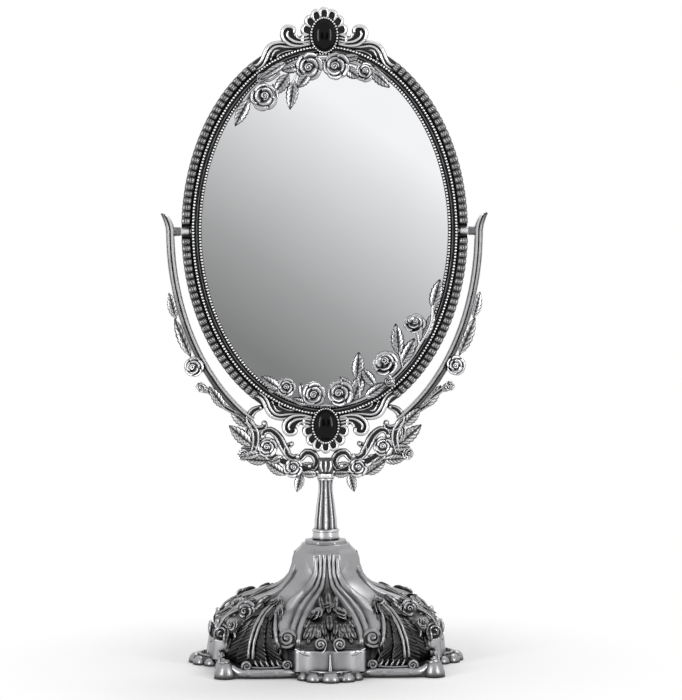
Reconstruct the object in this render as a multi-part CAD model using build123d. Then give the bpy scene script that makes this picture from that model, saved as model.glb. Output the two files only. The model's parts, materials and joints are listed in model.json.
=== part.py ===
from build123d import *
import os
from math import cos, hypot, pi, radians, sin, sqrt

# Double-sided tilting vanity mirror on a cast stand. Millimetres, +Z up, the front of the mirror faces -Y.
# The origin is the centre of the footprint. The mirror turns about the X axis through its two side pivots.
# There is no drawer: the object is an oval mirror, a yoke, a turned stem and a domed four-sided base.

os.makedirs("parts", exist_ok=True)

# ---------------------------------------------------------------- driving dimensions
pivot_height = 244.2        # pivot axis above the table
ring_half_width = 81.0      # oval frame, outer edge
ring_half_height = 110.0
band_width = 5.2            # rounded outer band that carries the gadroons
band_depth = 5.2            # parting plane to the top of that band
bead_depth = 6.2            # parting plane to the top of the two bead rows
bead_row_width = 1.9
groove_depth = 4.7          # parting plane to the floor of the grooves
groove_width = 0.5
lip_width = 1.6             # plain edge inside the inner bead row
lip_depth = 5.2
pocket_inset = 7.8          # outer edge to the wall of the glass pocket
glass_thickness = 3.0
glass_clearance = 0.4
board_thickness = 2.0       # card between the two panes
dish_depth = 1.6            # hollow of the magnifying pane

crest_rise = 0.2            # cabochon centre below the outer edge of the oval
stone_half_width = 6.4
stone_half_height = 8.7
stone_height = 4.4
bezel_wall = 1.6
bezel_depth = 6.4
shell_half_width = 11.0
shell_half_height = 13.8
shell_depth = 5.0
shell_lobe_radius = 2.2
shell_lobes = 11
wing_depth = 3.4            # acanthus wings each side of the cabochon
volute_depth = 4.6
seat_depth = 4.4            # parting plane to the floor under the stone
seat_gap = 0.1

spray_plate = 1.5           # rose sprays: stems and leaf edges
leaf_ridge = 0.9
rose_rise = 3.4
rose_lobes = 5

barrel_radius = 2.45        # swivel barrel seen in the notch of the band
barrel_length = 5.0
tenon_radius = 1.6
tenon_length = 2.2
notch_height = 8.7
pin_radius = 1.2
running_clearance = 0.05
pin_reach = 4.0             # pin inside the barrel
washer_thickness = 0.4
spacer_length = 4.0
spacer_radius = 2.55

arm_width = 5.0             # yoke arm seen from the front
arm_depth = 5.6
yoke_half_height = 120.7    # inner edge of the yoke's arc, below the pivot axis
arm_end = 101.0             # the plain arm ends this far below the axis, at the first scroll
scroll_depth = 4.6
web_depth = 3.0
hub_half_width = 4.4
hub_top = 128.4             # hub top below the pivot axis
hub_bottom = 137.2
ferrule_radius = 5.0        # ribbed ring under the hub
ferrule_height = 3.6

base_height = 69.5
collar_radius = 7.8
collar_height = 6.1
stem_foot_radius = 6.7
stem_waist_radius = 4.1
stem_head_radius = 4.6
stem_flutes = 10
flute_depth = 0.55
rod_radius = 2.95           # M6 threaded rod
rod_clearance = 0.15
rod_engagement = 9.0        # thread inside the hub
nut_across_flats = 10.0
nut_height = 5.0
rod_washer_radius = 6.0
rod_washer_thickness = 1.5

base_wall = 3.2
crown_underside = 63.0      # the tie rod's washer bears here
foot_gap = 0.3              # the casting's rim stands this far off the table
felt_thickness = 1.5
plate_thickness = 1.2
plan_half = 62.0            # half side of the square footprint
plan_corner = 9.0
fan_radius = 19.3           # lobed fan at the middle of each side
fan_centre = 59.0
fan_balls = 5
fan_height = 4.6
knob_centre = 57.4          # round knob on each corner
knob_radius = 5.6
knob_height = 9.5
flange_height = 4.4
lip_scroll_near = 23.4      # small scrolls at the ends of each lip, from the middle of the side
lip_scroll_far = 45.8
lip_scroll_radius = 3.2
lip_scroll_length = 5.0
pocket_half = 57.5          # felt pocket
fit_gap = 0.3

screw_radius = 1.45         # M3 screws under the rear cabochons
screw_head_radius = 2.6
screw_head_height = 1.6
screw_depth = 3.0

# ---------------------------------------------------------------- derived places
glass_front = board_thickness / 2 + glass_thickness
lip_inset = band_width + 2 * (groove_width + bead_row_width) + lip_width
crest_centre = ring_half_height - crest_rise
arm_inner = ring_half_width + washer_thickness * 2 + spacer_length
axle_gap = washer_thickness / 4
stem_bottom = base_height + collar_height
stem_top = pivot_height - hub_bottom - ferrule_height
arm_outer = arm_inner + arm_width
plate_top = felt_thickness + plate_thickness


# ---------------------------------------------------------------- small drawing helpers
def at_pivot(shape):
    """The mirror is drawn about its pivot axis and then lifted to it."""
    return Pos(0, 0, pivot_height) * shape


def plate(sketch, depth, start=0.0):
    """Extrudes an X-Z sketch towards the front, from depth start to depth start + depth."""
    return extrude(Plane.XZ.offset(start) * sketch, amount=depth)


def leaf_outline(base, tip, width):
    """A pointed leaf between two points: two arcs that meet at the base and at the tip."""
    bx, bz = base
    tx, tz = tip
    length = hypot(tx - bx, tz - bz)
    nx, nz = -(tz - bz) / length, (tx - bx) / length
    mx, mz = bx + 0.45 * (tx - bx), bz + 0.45 * (tz - bz)
    left = ThreePointArc(base, (mx + nx * width / 2, mz + nz * width / 2), tip)
    right = ThreePointArc(tip, (mx - nx * width / 2, mz - nz * width / 2), base)
    return make_face([left, right])


def shrunk_leaf(base, tip, width, share):
    """The raised middle of a leaf, on the same midrib."""
    bx, bz = base
    tx, tz = tip
    inset = (1 - share) / 2
    inner_base = (bx + inset * (tx - bx), bz + inset * (tz - bz))
    inner_tip = (tx - inset * (tx - bx), tz - inset * (tz - bz))
    return leaf_outline(inner_base, inner_tip, width * share)


def rose_outline(centre, radius):
    """Overlapping outer petals as a lobed disc."""
    x, z = centre
    petal = radius * 0.52
    shape = Pos(x, z) * Circle(radius * 0.7)
    for i in range(rose_lobes):
        turn = 2 * pi * i / rose_lobes + 0.3
        reach = radius - petal
        shape += Pos(x + reach * cos(turn), z + reach * sin(turn)) * Circle(petal)
    return shape


def rose_heart(centre, radius, floor, rise):
    """The closed middle of a rose: two stepped rounds that narrow towards the front."""
    x, z = centre
    middle_disc = Plane.XZ.offset(floor) * Pos(x, z) * Circle(radius * 0.66)
    middle = extrude(middle_disc, amount=rise * 0.55, taper=20)
    bud = extrude(Plane.XZ.offset(floor) * Pos(x, z) * Circle(radius * 0.34), amount=rise, taper=12)
    return [middle, bud]


def stroke(start, middle, end, width):
    """A band of constant width along the arc through three points."""
    return trace(ThreePointArc(start, middle, end), width)


def merged(shapes):
    total = shapes[0]
    for shape in shapes[1:]:
        total += shape
    return total


def mirrored(shape):
    return mirror(shape, about=Plane.YZ)


def save(shape, name):
    export_step(shape, f"parts/{name}.step")


# ---------------------------------------------------------------- the oval frame
def ring_profile():
    """Section of one frame half, as (inset from the outer edge, depth from the parting plane)."""
    first_groove = band_width + groove_width
    first_beads = first_groove + bead_row_width
    second_groove = first_beads + groove_width
    second_beads = second_groove + bead_row_width
    bevel = 0.4
    return [
        (0, 0), (0, band_depth * 0.4), (band_width * 0.2, band_depth * 0.84), (band_width * 0.6, band_depth),
        (band_width, band_depth * 0.9), (first_groove, groove_depth),
        (first_groove + bevel, bead_depth), (first_beads - bevel, bead_depth), (first_beads, groove_depth),
        (second_groove, groove_depth), (second_groove + bevel, bead_depth), (second_beads - bevel, bead_depth),
        (second_beads, lip_depth), (lip_inset, lip_depth), (lip_inset, glass_front), (pocket_inset, glass_front),
        (pocket_inset, 0),
    ]


def ring_half():
    upright = Plane((0, 0, 0), (1, 0, 0), (0, -1, 0))
    path = Edge.make_ellipse(ring_half_width, ring_half_height, plane=upright)
    corners = [(0, -depth, ring_half_height - inset) for inset, depth in ring_profile()]
    return sweep(make_face(Polyline(*corners, close=True)), path=path)


def pivot_notch(side):
    """The gap in the band around the swivel barrel, and the groove that holds its tenon."""
    middle = side * (ring_half_width - band_width / 2)
    gap = Pos(middle, 0, 0) * Box(band_width + 0.4, 4 * band_depth, notch_height)
    reach = ring_half_width - barrel_length - tenon_length / 2
    groove_rod = Cylinder(tenon_radius + running_clearance, tenon_length + 0.8)
    groove = Pos(side * reach, 0, 0) * Rot(0, 90, 0) * groove_rod
    return [gap, groove]


# The crest is drawn for the top and one side, and mirrored. Points are (x, height above the pivot axis).
wing_top = [
    (9.0, 109.3), (15.0, 108.8), (20.0, 107.4), (22.7, 105.9), (31.3, 104.2), (35.4, 97.2),
    (38.4, 93.2), (41.6, 92.4),
]
wing_inner = [(39.0, 90.2), (24.0, 98.8), (9.0, 103.4)]
volute_strokes = [
    ((9.0, 106.0), (19.5, 106.2), (23.2, 110.8), 3.2),
    ((23.2, 110.8), (21.6, 113.8), (18.6, 112.2), 3.0),
    ((8.6, 112.0), (12.0, 108.8), (16.4, 109.4), 2.4),
]
volute_end = (18.2, 112.0)
volute_end_radius = 1.7


def crest_shell():
    shape = Pos(0, crest_centre) * Ellipse(shell_half_width, shell_half_height)
    for i in range(shell_lobes):
        turn = radians(-18 + 216 * i / (shell_lobes - 1))
        lobe = (shell_half_width * cos(turn), crest_centre + shell_half_height * sin(turn))
        shape += Pos(*lobe) * Circle(shell_lobe_radius)
    return shape


def crest_half():
    """One crest of one frame half: wings, volutes, lobed shell and the beaded setting of the stone."""
    wing = make_face([Spline(*wing_top), Line(wing_top[-1], wing_inner[0]), Spline(*wing_inner),
                      Line(wing_inner[-1], wing_top[0])])
    scrolls = merged([stroke(*points) for points in volute_strokes])
    scrolls += Pos(*volute_end) * Circle(volute_end_radius)
    solids = [plate(wing, wing_depth), plate(scrolls, volute_depth)]
    solids += [mirrored(s) for s in solids]
    solids.append(plate(crest_shell(), shell_depth))
    bezel = Pos(0, crest_centre) * Ellipse(stone_half_width + bezel_wall, stone_half_height + bezel_wall)
    solids.append(plate(bezel, bezel_depth))
    return merged(solids)


def stone_seat():
    """The oval well that the stone is cemented in, cut through band, beads and setting."""
    well = Pos(0, crest_centre) * Ellipse(stone_half_width + seat_gap, stone_half_height + seat_gap)
    return plate(well, 2 * bezel_depth, start=seat_depth)


def glass_room():
    """Everything inside the pocket wall is cleared of crest material."""
    return plate(Ellipse(ring_half_width - pocket_inset, ring_half_height - pocket_inset), glass_front)


def frame_half():
    crest = crest_half()
    crests = [crest, mirror(crest, about=Plane.XY)]
    opening = plate(Ellipse(ring_half_width - lip_inset, ring_half_height - lip_inset), 4 * bead_depth)
    frame = ring_half() + merged([c - glass_room() - opening for c in crests])
    cuts = [stone_seat(), mirror(stone_seat(), about=Plane.XY)]
    for side in (-1, 1):
        cuts += pivot_notch(side)
    return frame - cuts


def front_frame():
    frame = frame_half()
    for z in (crest_centre, -crest_centre):
        frame -= plate(Pos(0, z) * Circle(screw_radius + 0.02), screw_depth + 0.2)
    return frame


def rear_frame():
    """The same casting turned round, drilled and counterbored for the screws under its stones."""
    frame = frame_half()
    for z in (crest_centre, -crest_centre):
        frame -= plate(Pos(0, z) * Circle(screw_radius + 0.15), seat_depth)
        head_room = Pos(0, z) * Circle(screw_head_radius + 0.2)
        frame -= plate(head_room, seat_depth, start=seat_depth - screw_head_height)
    return frame.rotate(Axis.Z, 180)


def frame_screw(z):
    """A pan-head screw that clamps the halves, its head under the rear stone."""
    shank = plate(Pos(0, z) * Circle(screw_radius), screw_depth + seat_depth - screw_head_height,
                  start=-(seat_depth - screw_head_height))
    head = Pos(0, z) * Circle(screw_head_radius)
    return shank + plate(head, screw_head_height - 0.1, start=-seat_depth + 0.1)


def stone(z):
    """An oval cabochon, flat behind and domed in front."""
    skirt = 1.0
    body = plate(Pos(0, z) * Ellipse(stone_half_width, stone_half_height), skirt, start=seat_depth)
    half_ball = Sphere(1) & Pos(0, -1, 0) * Box(4, 2, 4)
    dome = scale(half_ball, by=(stone_half_width, stone_height - skirt, stone_half_height))
    return body + Pos(0, -(seat_depth + skirt), z) * dome


# ---------------------------------------------------------------- glass and card
def pane_sketch():
    inset = pocket_inset + glass_clearance
    return Ellipse(ring_half_width - inset, ring_half_height - inset)


def rear_pane():
    """The magnifying pane: a hollow ground into its outer face."""
    flat = plate(pane_sketch(), glass_thickness, start=board_thickness / 2)
    half_w = ring_half_width - lip_inset - 1.0
    half_h = ring_half_height - lip_inset - 1.0
    ball = (half_h ** 2 + dish_depth ** 2) / (2 * dish_depth)
    bowl = Pos(0, -(glass_front + ball - dish_depth), 0) * scale(Sphere(ball), by=(half_w / half_h, 1, 1))
    return (flat - bowl).rotate(Axis.Z, 180)


# ---------------------------------------------------------------- rose sprays on the frame
# Leaves are (base, tip, width), roses are (centre, radius), stems are three points and a width.
upper_leaves = [
    ((-42.9, 72.8), (-50.1, 59.9), 6.8), ((-17.3, 85.0), (-19.2, 69.1), 6.8),
    ((-8.6, 89.0), (-14.8, 81.6), 6.4), ((-20.5, 86.6), (-27.8, 77.0), 7.4),
    ((-23.3, 93.5), (-35.8, 85.6), 4.6), ((11.8, 91.0), (18.8, 86.0), 6.2),
    ((26.0, 89.4), (36.0, 81.2), 6.4), ((10.4, 96.4), (18.6, 98.2), 4.4),
    ((-14.0, 92.5), (-22.4, 90.0), 5.6),
]
upper_roses = [
    ((-8.8, 91.6), 6.8), ((7.0, 93.4), 6.4), ((22.8, 89.3), 4.6), ((-34.1, 74.4), 7.2),
    ((-35.0, 85.4), 2.9),
]
upper_stems = [
    ((-48.4, 69.0), (-40.0, 79.6), (-28.0, 89.0), 2.2),
    ((-28.0, 89.0), (-15.0, 94.6), (0.0, 96.6), 2.2), ((0.0, 96.6), (15.0, 94.6), (30.0, 88.0), 2.2),
    ((-17.5, 83.0), (-16.0, 88.0), (-15.0, 94.0), 1.8),
    ((-48.4, 69.0), (-45.4, 71.6), (-42.0, 73.0), 1.8),
    ((-34.0, 84.6), (-30.0, 84.0), (-24.0, 88.0), 1.8),
]
lower_leaves = [
    ((-26.7, -89.0), (-35.8, -82.4), 6.6), ((-11.4, -95.2), (-13.9, -86.2), 5.6),
    ((-10.9, -97.8), (-18.2, -95.0), 4.2), ((14.6, -88.8), (8.2, -82.4), 5.2),
    ((15.2, -94.0), (21.2, -80.4), 7.6), ((17.7, -82.0), (18.9, -69.5), 7.0),
    ((27.5, -87.0), (20.9, -78.6), 6.4), ((23.1, -93.5), (33.2, -86.2), 6.0),
    ((41.6, -68.0), (40.0, -53.6), 7.4), ((43.5, -73.5), (49.9, -61.8), 6.6),
    ((56.0, -60.6), (61.4, -46.6), 5.2), ((60.6, -42.2), (64.4, -28.6), 6.6),
]
lower_roses = [((-6.6, -91.6), 6.4), ((8.4, -91.4), 6.9), ((-22.0, -88.2), 5.0), ((34.2, -75.2), 7.4),
               ((50.6, -52.8), 6.0), ((36.4, -85.2), 2.9)]
lower_stems = [
    ((60.6, -42.0), (59.6, -52.0), (54.0, -63.0), 2.0),
    ((54.0, -63.0), (45.0, -76.0), (32.0, -88.6), 2.0),
    ((32.0, -88.6), (16.0, -96.6), (0.0, -98.2), 2.2),
    ((0.0, -98.2), (-15.0, -96.4), (-28.0, -90.4), 2.2),
    ((51.6, -57.0), (52.6, -60.6), (54.0, -63.0), 2.2),
    ((34.6, -81.0), (36.6, -82.6), (38.0, -85.6), 2.2),
    ((30.0, -86.0), (33.0, -84.4), (36.0, -84.6), 1.8),
    ((41.6, -67.4), (42.4, -71.0), (44.4, -76.0), 1.8),
    ((18.2, -81.4), (19.0, -86.0), (19.4, -93.0), 1.8),
    ((27.5, -86.6), (28.2, -88.6), (29.0, -91.0), 1.8),
]


def spray(leaves, roses, stems):
    """One casting of roses, leaves and stems, flat behind, seated on the bead rows."""
    outlines = [leaf_outline(*leaf) for leaf in leaves]
    outlines += [rose_outline(*rose) for rose in roses]
    outlines += [stroke(*stem) for stem in stems]
    body = plate(merged(outlines), spray_plate, start=bead_depth)
    for leaf in leaves:
        body += plate(shrunk_leaf(*leaf, 0.55), leaf_ridge + 0.2, start=bead_depth + spray_plate - 0.2)
    for centre, radius in roses:
        for heart in rose_heart(centre, radius, bead_depth + spray_plate - 0.2, rose_rise * radius / 7):
            body += heart
    return body


# ---------------------------------------------------------------- pivots
def pivot_set(side):
    """Pin in the arm, spacer, spring washer and swivel barrel, from the arm to the frame."""
    def along(x, length, radius):
        return Pos(side * (x + length / 2), 0, 0) * Rot(0, 90, 0) * Cylinder(radius, length)

    barrel_inner = ring_half_width - barrel_length
    barrel = along(barrel_inner, barrel_length, barrel_radius)
    rounded = barrel.edges().filter_by(GeomType.CIRCLE).sort_by(lambda e: abs(e.center().X))[0]
    barrel = fillet(rounded, 1.1)
    barrel += along(barrel_inner - tenon_length, tenon_length + 0.5, tenon_radius)
    barrel -= along(ring_half_width - pin_reach - 0.4, pin_reach + 0.8, pin_radius + running_clearance)
    washer_start = ring_half_width + axle_gap
    washer = along(washer_start, washer_thickness, barrel_radius - 0.25)
    washer -= along(washer_start - 0.1, washer_thickness + 0.2, pin_radius + running_clearance)
    spacer_start = washer_start + washer_thickness
    spacer = along(spacer_start, arm_inner - spacer_start, spacer_radius)
    spacer -= along(spacer_start - 0.1, arm_inner - spacer_start + 0.2, pin_radius + running_clearance)
    pin_length = pin_reach + arm_inner - ring_half_width + arm_width * 0.6
    pin = along(ring_half_width - pin_reach, pin_length, pin_radius)
    return {"swivel_barrel": barrel, "spring_washer": washer, "pivot_spacer": spacer, "pivot_pin": pin}


# ---------------------------------------------------------------- yoke
# Points are (x, height above the pivot axis) on the right side; the left side is their mirror image.
arm_tip = [(5.0, 10.6), (7.4, 11.4)]
yoke_leaves = [
    ((84.4, -47.6), (87.9, -35.4), 5.6), ((77.0, -68.2), (84.8, -50.2), 6.6),
    ((57.6, -98.8), (65.4, -88.4), 6.2), ((44.6, -110.6), (54.4, -99.8), 7.0),
    ((39.8, -121.6), (55.6, -109.6), 7.6), ((33.4, -129.8), (44.4, -129.0), 6.0),
    ((23.8, -137.4), (33.6, -130.8), 6.2), ((13.6, -134.2), (16.2, -147.0), 6.0),
    ((5.4, -138.6), (13.4, -138.6), 4.8),
]
yoke_roses = [
    ((75.6, -76.8), 4.9), ((32.8, -122.3), 5.2), ((18.4, -134.2), 5.2), ((45.6, -126.8), 3.6),
    ((69.6, -88.4), 3.0),
]
yoke_scrolls = [
    ((39.6, -102.6), (43.0, -107.0), (36.6, -111.6), 2.4),
    ((36.6, -111.6), (33.8, -112.0), (34.4, -109.6), 1.9),
    ((35.8, -117.0), (35.0, -113.6), (31.2, -113.0), 2.2),
    ((31.2, -113.0), (26.4, -117.4), (22.2, -126.0), 2.8),
    ((18.6, -121.6), (21.4, -125.0), (17.6, -127.4), 2.0),
    ((17.6, -127.4), (15.0, -126.8), (14.4, -125.4), 1.8),
    ((15.4, -130.0), (10.6, -125.2), (5.8, -129.4), 2.4),
    ((5.8, -129.4), (5.2, -133.6), (7.6, -134.6), 2.0),
    ((43.4, -108.0), (39.2, -116.6), (41.0, -126.0), 2.4),
    ((47.0, -106.4), (43.4, -108.2), (40.0, -113.0), 2.6),
    ((41.0, -120.4), (37.4, -122.4), (34.0, -125.0), 2.2),
    ((30.0, -125.0), (26.0, -128.0), (21.0, -131.0), 2.4),
    ((33.8, -129.6), (28.0, -128.4), (24.0, -127.0), 2.4),
    ((12.8, -131.6), (11.4, -134.4), (9.6, -137.6), 2.2),
    ((7.0, -134.4), (10.0, -135.4), (14.0, -135.4), 2.0),
    ((62.8, -92.0), (66.0, -91.0), (69.0, -89.0), 2.0),
    ((53.0, -101.6), (56.0, -99.4), (58.6, -97.6), 2.4),
    ((82.4, -51.0), (83.4, -48.4), (84.8, -45.4), 2.2),
]


def arm_outline():
    """The arm follows an ellipse from the pivot down to the first scroll, and flares out above the pivot."""
    inner, outer = (arm_inner, yoke_half_height), (arm_outer, yoke_half_height + arm_width)
    ring = Ellipse(*outer) - Ellipse(*inner)
    cut_top = Pos(0, yoke_half_height) * Rectangle(4 * arm_outer, 2 * yoke_half_height)
    centre_block = Pos(0, -yoke_half_height) * Rectangle(2 * arm_split(), 2 * yoke_half_height)
    arms = ring - cut_top - centre_block
    root_in, root_out = (arm_inner, 0), (arm_outer, 0)
    flare_in = (arm_inner + arm_tip[0][0], arm_tip[0][1])
    flare_out = (arm_inner + arm_tip[1][0], arm_tip[1][1])
    tip = make_face([
        Line(root_in, root_out),
        ThreePointArc(root_out, (arm_outer + 0.2, arm_tip[0][1] * 0.5), flare_out),
        Line(flare_out, flare_in),
        ThreePointArc(flare_in, (arm_inner + 0.9, arm_tip[0][1] * 0.55), root_in),
    ])
    return arms + tip + tip.mirror(Plane.YZ)


def arm_split():
    """Half width of the gap between the lower ends of the two plain arms."""
    return arm_inner * sqrt(1 - (arm_end / yoke_half_height) ** 2)


def yoke():
    arms = extrude(Plane.XZ * arm_outline(), amount=arm_depth / 2, both=True)
    lower = [stroke(*points) for points in yoke_scrolls]
    lower += [leaf_outline(*leaf) for leaf in yoke_leaves]
    lower += [rose_outline(*rose) for rose in yoke_roses]
    body = arms
    filigree = extrude(Plane.XZ * merged(lower), amount=web_depth / 2, both=True)
    drawn = merged([stroke(*points) for points in yoke_scrolls])
    ribs = extrude(Plane.XZ * drawn, amount=scroll_depth / 2, both=True)
    half = filigree + ribs
    for centre, radius in yoke_roses:
        for heart in rose_heart(centre, radius, web_depth / 2 - 0.2, radius * 0.45):
            half += heart
            half += mirror(heart, about=Plane.XZ)
    body = body + half + mirrored(half)
    hub_height = hub_bottom - hub_top
    body += Pos(0, 0, -(hub_top + hub_height / 2)) * Box(2 * hub_half_width, 2 * hub_half_width, hub_height)
    body += Pos(0, 0, -(hub_bottom + ferrule_height / 2)) * Cylinder(ferrule_radius, ferrule_height)
    rod_middle = rod_engagement / 2 - hub_bottom - ferrule_height
    rod_hole = Pos(0, 0, rod_middle) * Cylinder(rod_radius + 0.02, rod_engagement)
    body -= rod_hole
    for side in (-1, 1):
        hole_depth = arm_width * 0.6
        pin_hole = Rot(0, 90, 0) * Cylinder(pin_radius + 0.02, hole_depth)
        body -= Pos(side * (arm_inner + hole_depth / 2), 0, 0) * pin_hole
        body -= Pos(side * (arm_inner - 1), 0, 0) * Rot(0, 90, 0) * Cylinder(spacer_radius + fit_gap, 2.0)
    return body


# ---------------------------------------------------------------- stem
def fluted_section(radius, z, depth):
    """A round section with shallow flutes, as a closed curve."""
    count = 4 * stem_flutes
    points = []
    for i in range(count):
        turn = 2 * pi * i / count
        r = radius - depth * (0.5 + 0.5 * cos(stem_flutes * turn))
        points.append((r * cos(turn), r * sin(turn)))
    return Pos(0, 0, z) * make_face(Spline(*points, periodic=True))


def stem():
    height = stem_top - stem_bottom
    stations = [(0.0, stem_foot_radius), (0.18, stem_foot_radius - 0.3), (0.5, stem_foot_radius - 1.6),
                (0.8, stem_waist_radius), (1.0, stem_head_radius)]
    column = loft([fluted_section(r, stem_bottom + t * height, flute_depth) for t, r in stations])
    return column - Pos(0, 0, stem_bottom + height / 2) * Cylinder(rod_radius + rod_clearance, height + 2)


def stem_collar():
    ring = Pos(0, 0, base_height + collar_height / 2) * Cylinder(collar_radius, collar_height)
    ring = fillet(ring.edges().filter_by(GeomType.CIRCLE), 0.8)
    bore = Cylinder(rod_radius + rod_clearance, collar_height + 2)
    return ring - Pos(0, 0, base_height + collar_height / 2) * bore


# ---------------------------------------------------------------- base
# A turned core with four lobes in the middle of the sides and four at the corners. Each list of points is read
# in threes, as arcs that share their ends. Profiles are (radius, height), edges are (half width, height).
core_profile = [
    (53.0, 8.0), (53.6, 16.0), (50.0, 24.4), (44.0, 31.0), (34.0, 36.4), (25.0, 41.4), (20.0, 49.0),
]
side_profile = [
    (66.5, 9.3), (65.2, 18.5), (58.9, 25.9), (51.5, 33.0), (41.0, 37.4), (27.5, 42.2), (20.6, 49.6),
    (18.4, 56.0), (17.8, 62.6),
]
side_edge = [
    (8.2, 62.6), (9.0, 51.0), (14.0, 43.4), (21.0, 38.8), (27.6, 34.0), (29.8, 26.0), (25.0, 18.6),
    (21.0, 14.8), (19.8, 9.0),
]
side_round = 48.0           # radius of a side lobe's front seen from above
corner_profile = [
    (59.8, 9.0), (58.4, 18.0), (54.0, 26.4), (47.4, 33.0), (39.4, 36.8), (30.0, 41.0), (20.0, 50.0),
]
corner_edge = [
    (7.6, 53.0), (8.4, 46.0), (9.4, 40.0), (14.0, 34.0), (20.0, 27.0), (24.6, 19.0), (26.5, 9.0),
]
corner_round = 31.0
band_inner_edge = [
    (4.4, 61.0), (5.4, 52.0), (8.4, 45.6), (12.6, 38.8), (17.4, 33.0), (19.6, 27.6), (20.4, 22.0),
]
ribbons = [
    ([(3.2, 60.0), (3.8, 51.0), (7.0, 44.0), (11.6, 38.6), (15.8, 31.0)], 2.0),
    ([(1.2, 60.0), (1.6, 50.0), (3.6, 44.6), (8.6, 38.4), (13.2, 32.0)], 1.4),
]
ribbon_lift = 1.2
volutes = [((21.4, 20.8), 5.2), ((5.2, 17.8), 3.6)]
volute_lift = 2.2
panel_roses = [((0.0, 37.0), 4.6), ((8.6, 31.6), 4.8), ((-8.6, 31.6), 4.8)]
panel_leaves = [
    ((0.0, 33.0), (0.0, 22.5), 6.0), ((9.0, 30.0), (14.0, 20.5), 5.0),
    ((-9.0, 30.0), (-14.0, 20.5), 5.0),
]
band_bar = (2.0, 9.0)       # small upright bar on the plain band, width and height
corner_rib_width = 3.2
corner_flower = (0.0, 36.6)
corner_flower_radius = 4.2
flower_lift = 2.0
neck_apothem = 18.2
shoulder_height = 62.9
neck_top_apothem = 11.7
cap_height = 3.0
lift_rise = 0.6             # a surface that goes out by 1 also goes up by this much


def arcs(points):
    """Arcs through the points, three at a time, each starting where the last one ends."""
    return [ThreePointArc(*points[i:i + 3]) for i in range(0, len(points) - 2, 2)]


def closed_face(points, *corners):
    """A face inside the arcs and straight lines that join their end to their start over the corners."""
    chain = [points[-1], *corners, points[0]]
    return make_face(arcs(points) + [Line(a, b) for a, b in zip(chain, chain[1:])])


def both_sides(sketch):
    return sketch + sketch.mirror(Plane.YZ)


def on_lobe(sketch, profile, rounding, lift):
    """What is drawn on the front of a lobe, cut to the lobe's surface raised by lift."""
    raised = [(-(r + lift), z + lift * lift_rise) for r, z in profile]
    inner = -8.0
    side = closed_face(raised, (inner, raised[-1][1]), (inner, foot_gap), (raised[0][0], foot_gap))
    across = extrude(Plane.YZ * side, amount=2 * fan_radius, both=True)
    rounded = Pos(0, rounding - profile[0][0], 40) * Cylinder(rounding + lift, 90)
    return plate(sketch, 2 * plan_half) & across & rounded


def lobe_outline(edge):
    return both_sides(closed_face(edge, (edge[-1][0], foot_gap), (0, foot_gap), (0, edge[0][1])))


def side_lobe():
    """Lobe, ribbons, volutes, bouquet and the small bar on the plain band."""
    ribbon = closed_face(side_edge[:-2], *reversed(band_inner_edge))
    ribbon += [trace(Wire(arcs(points)), width) for points, width in ribbons]
    curl = merged([Pos(*place) * Circle(radius) for place, radius in volutes])
    bouquet = [rose_outline(*rose) for rose in panel_roses] + [leaf_outline(*leaf) for leaf in panel_leaves]
    bar = Pos(0, band_bar[1] / 2 + 4) * Rectangle(*band_bar)
    low = both_sides(ribbon) + merged(bouquet) + bar
    lobe = on_lobe(lobe_outline(side_edge), side_profile, side_round, 0)
    return lobe + [on_lobe(low, side_profile, side_round, ribbon_lift),
                   on_lobe(both_sides(curl), side_profile, side_round, volute_lift)]


def corner_lobe():
    """Lobe with a rib down its middle and the flower at the rib's head."""
    rib = Pos(0, corner_flower[1] / 2) * Rectangle(corner_rib_width, corner_flower[1])
    flower = Pos(*corner_flower) * Circle(corner_flower_radius)
    lobe = on_lobe(lobe_outline(corner_edge), corner_profile, corner_round, 0)
    lobe += [on_lobe(rib, corner_profile, corner_round, ribbon_lift),
             on_lobe(flower, corner_profile, corner_round, flower_lift)]
    return lobe.rotate(Axis.Z, 45)


def lobe_room(profile, edge, rounding):
    """The hollow behind a lobe, a wall's thickness inside its surface and above the base plate."""
    drawn_in = [(w - base_wall, z - base_wall * lift_rise) for w, z in edge[2:]]
    room = on_lobe(lobe_outline(drawn_in), profile, rounding, -base_wall)
    return room & Pos(0, 0, plate_top + base_height / 2) * Box(4 * plan_half, 4 * plan_half, base_height)


def turned(points, inset, floor):
    """The core's profile turned round the axis, drawn in by inset."""
    drawn_in = [(r - inset, z - inset * lift_rise) for r, z in points]
    first, last = drawn_in[0], drawn_in[-1]
    return revolve(Plane.XZ * closed_face(drawn_in, (0, last[1]), (0, floor), (first[0], floor)), Axis.Z)


def neck_octagon(apothem, z):
    return Pos(0, 0, z) * RegularPolygon(apothem, 8, major_radius=False, rotation=22.5)


def neck():
    """Eight-sided neck, the cove above its shoulder and the flat cap that carries the collar."""
    foot_z = core_profile[-1][1] - 2
    cap_z = base_height - cap_height
    shoulder = neck_octagon(neck_apothem - 0.6, shoulder_height)
    stack = loft([neck_octagon(neck_apothem, foot_z), shoulder], ruled=True)
    cove_foot = neck_octagon(neck_apothem - 1.4, shoulder_height)
    cove = loft([cove_foot, neck_octagon(neck_top_apothem + 1.6, cap_z)], ruled=True)
    return stack + [cove, extrude(neck_octagon(neck_top_apothem, cap_z), amount=cap_height)]


def quarter_turns(shapes):
    return [shape.rotate(Axis.Z, 90 * i) for shape in shapes for i in range(4)]


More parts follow.
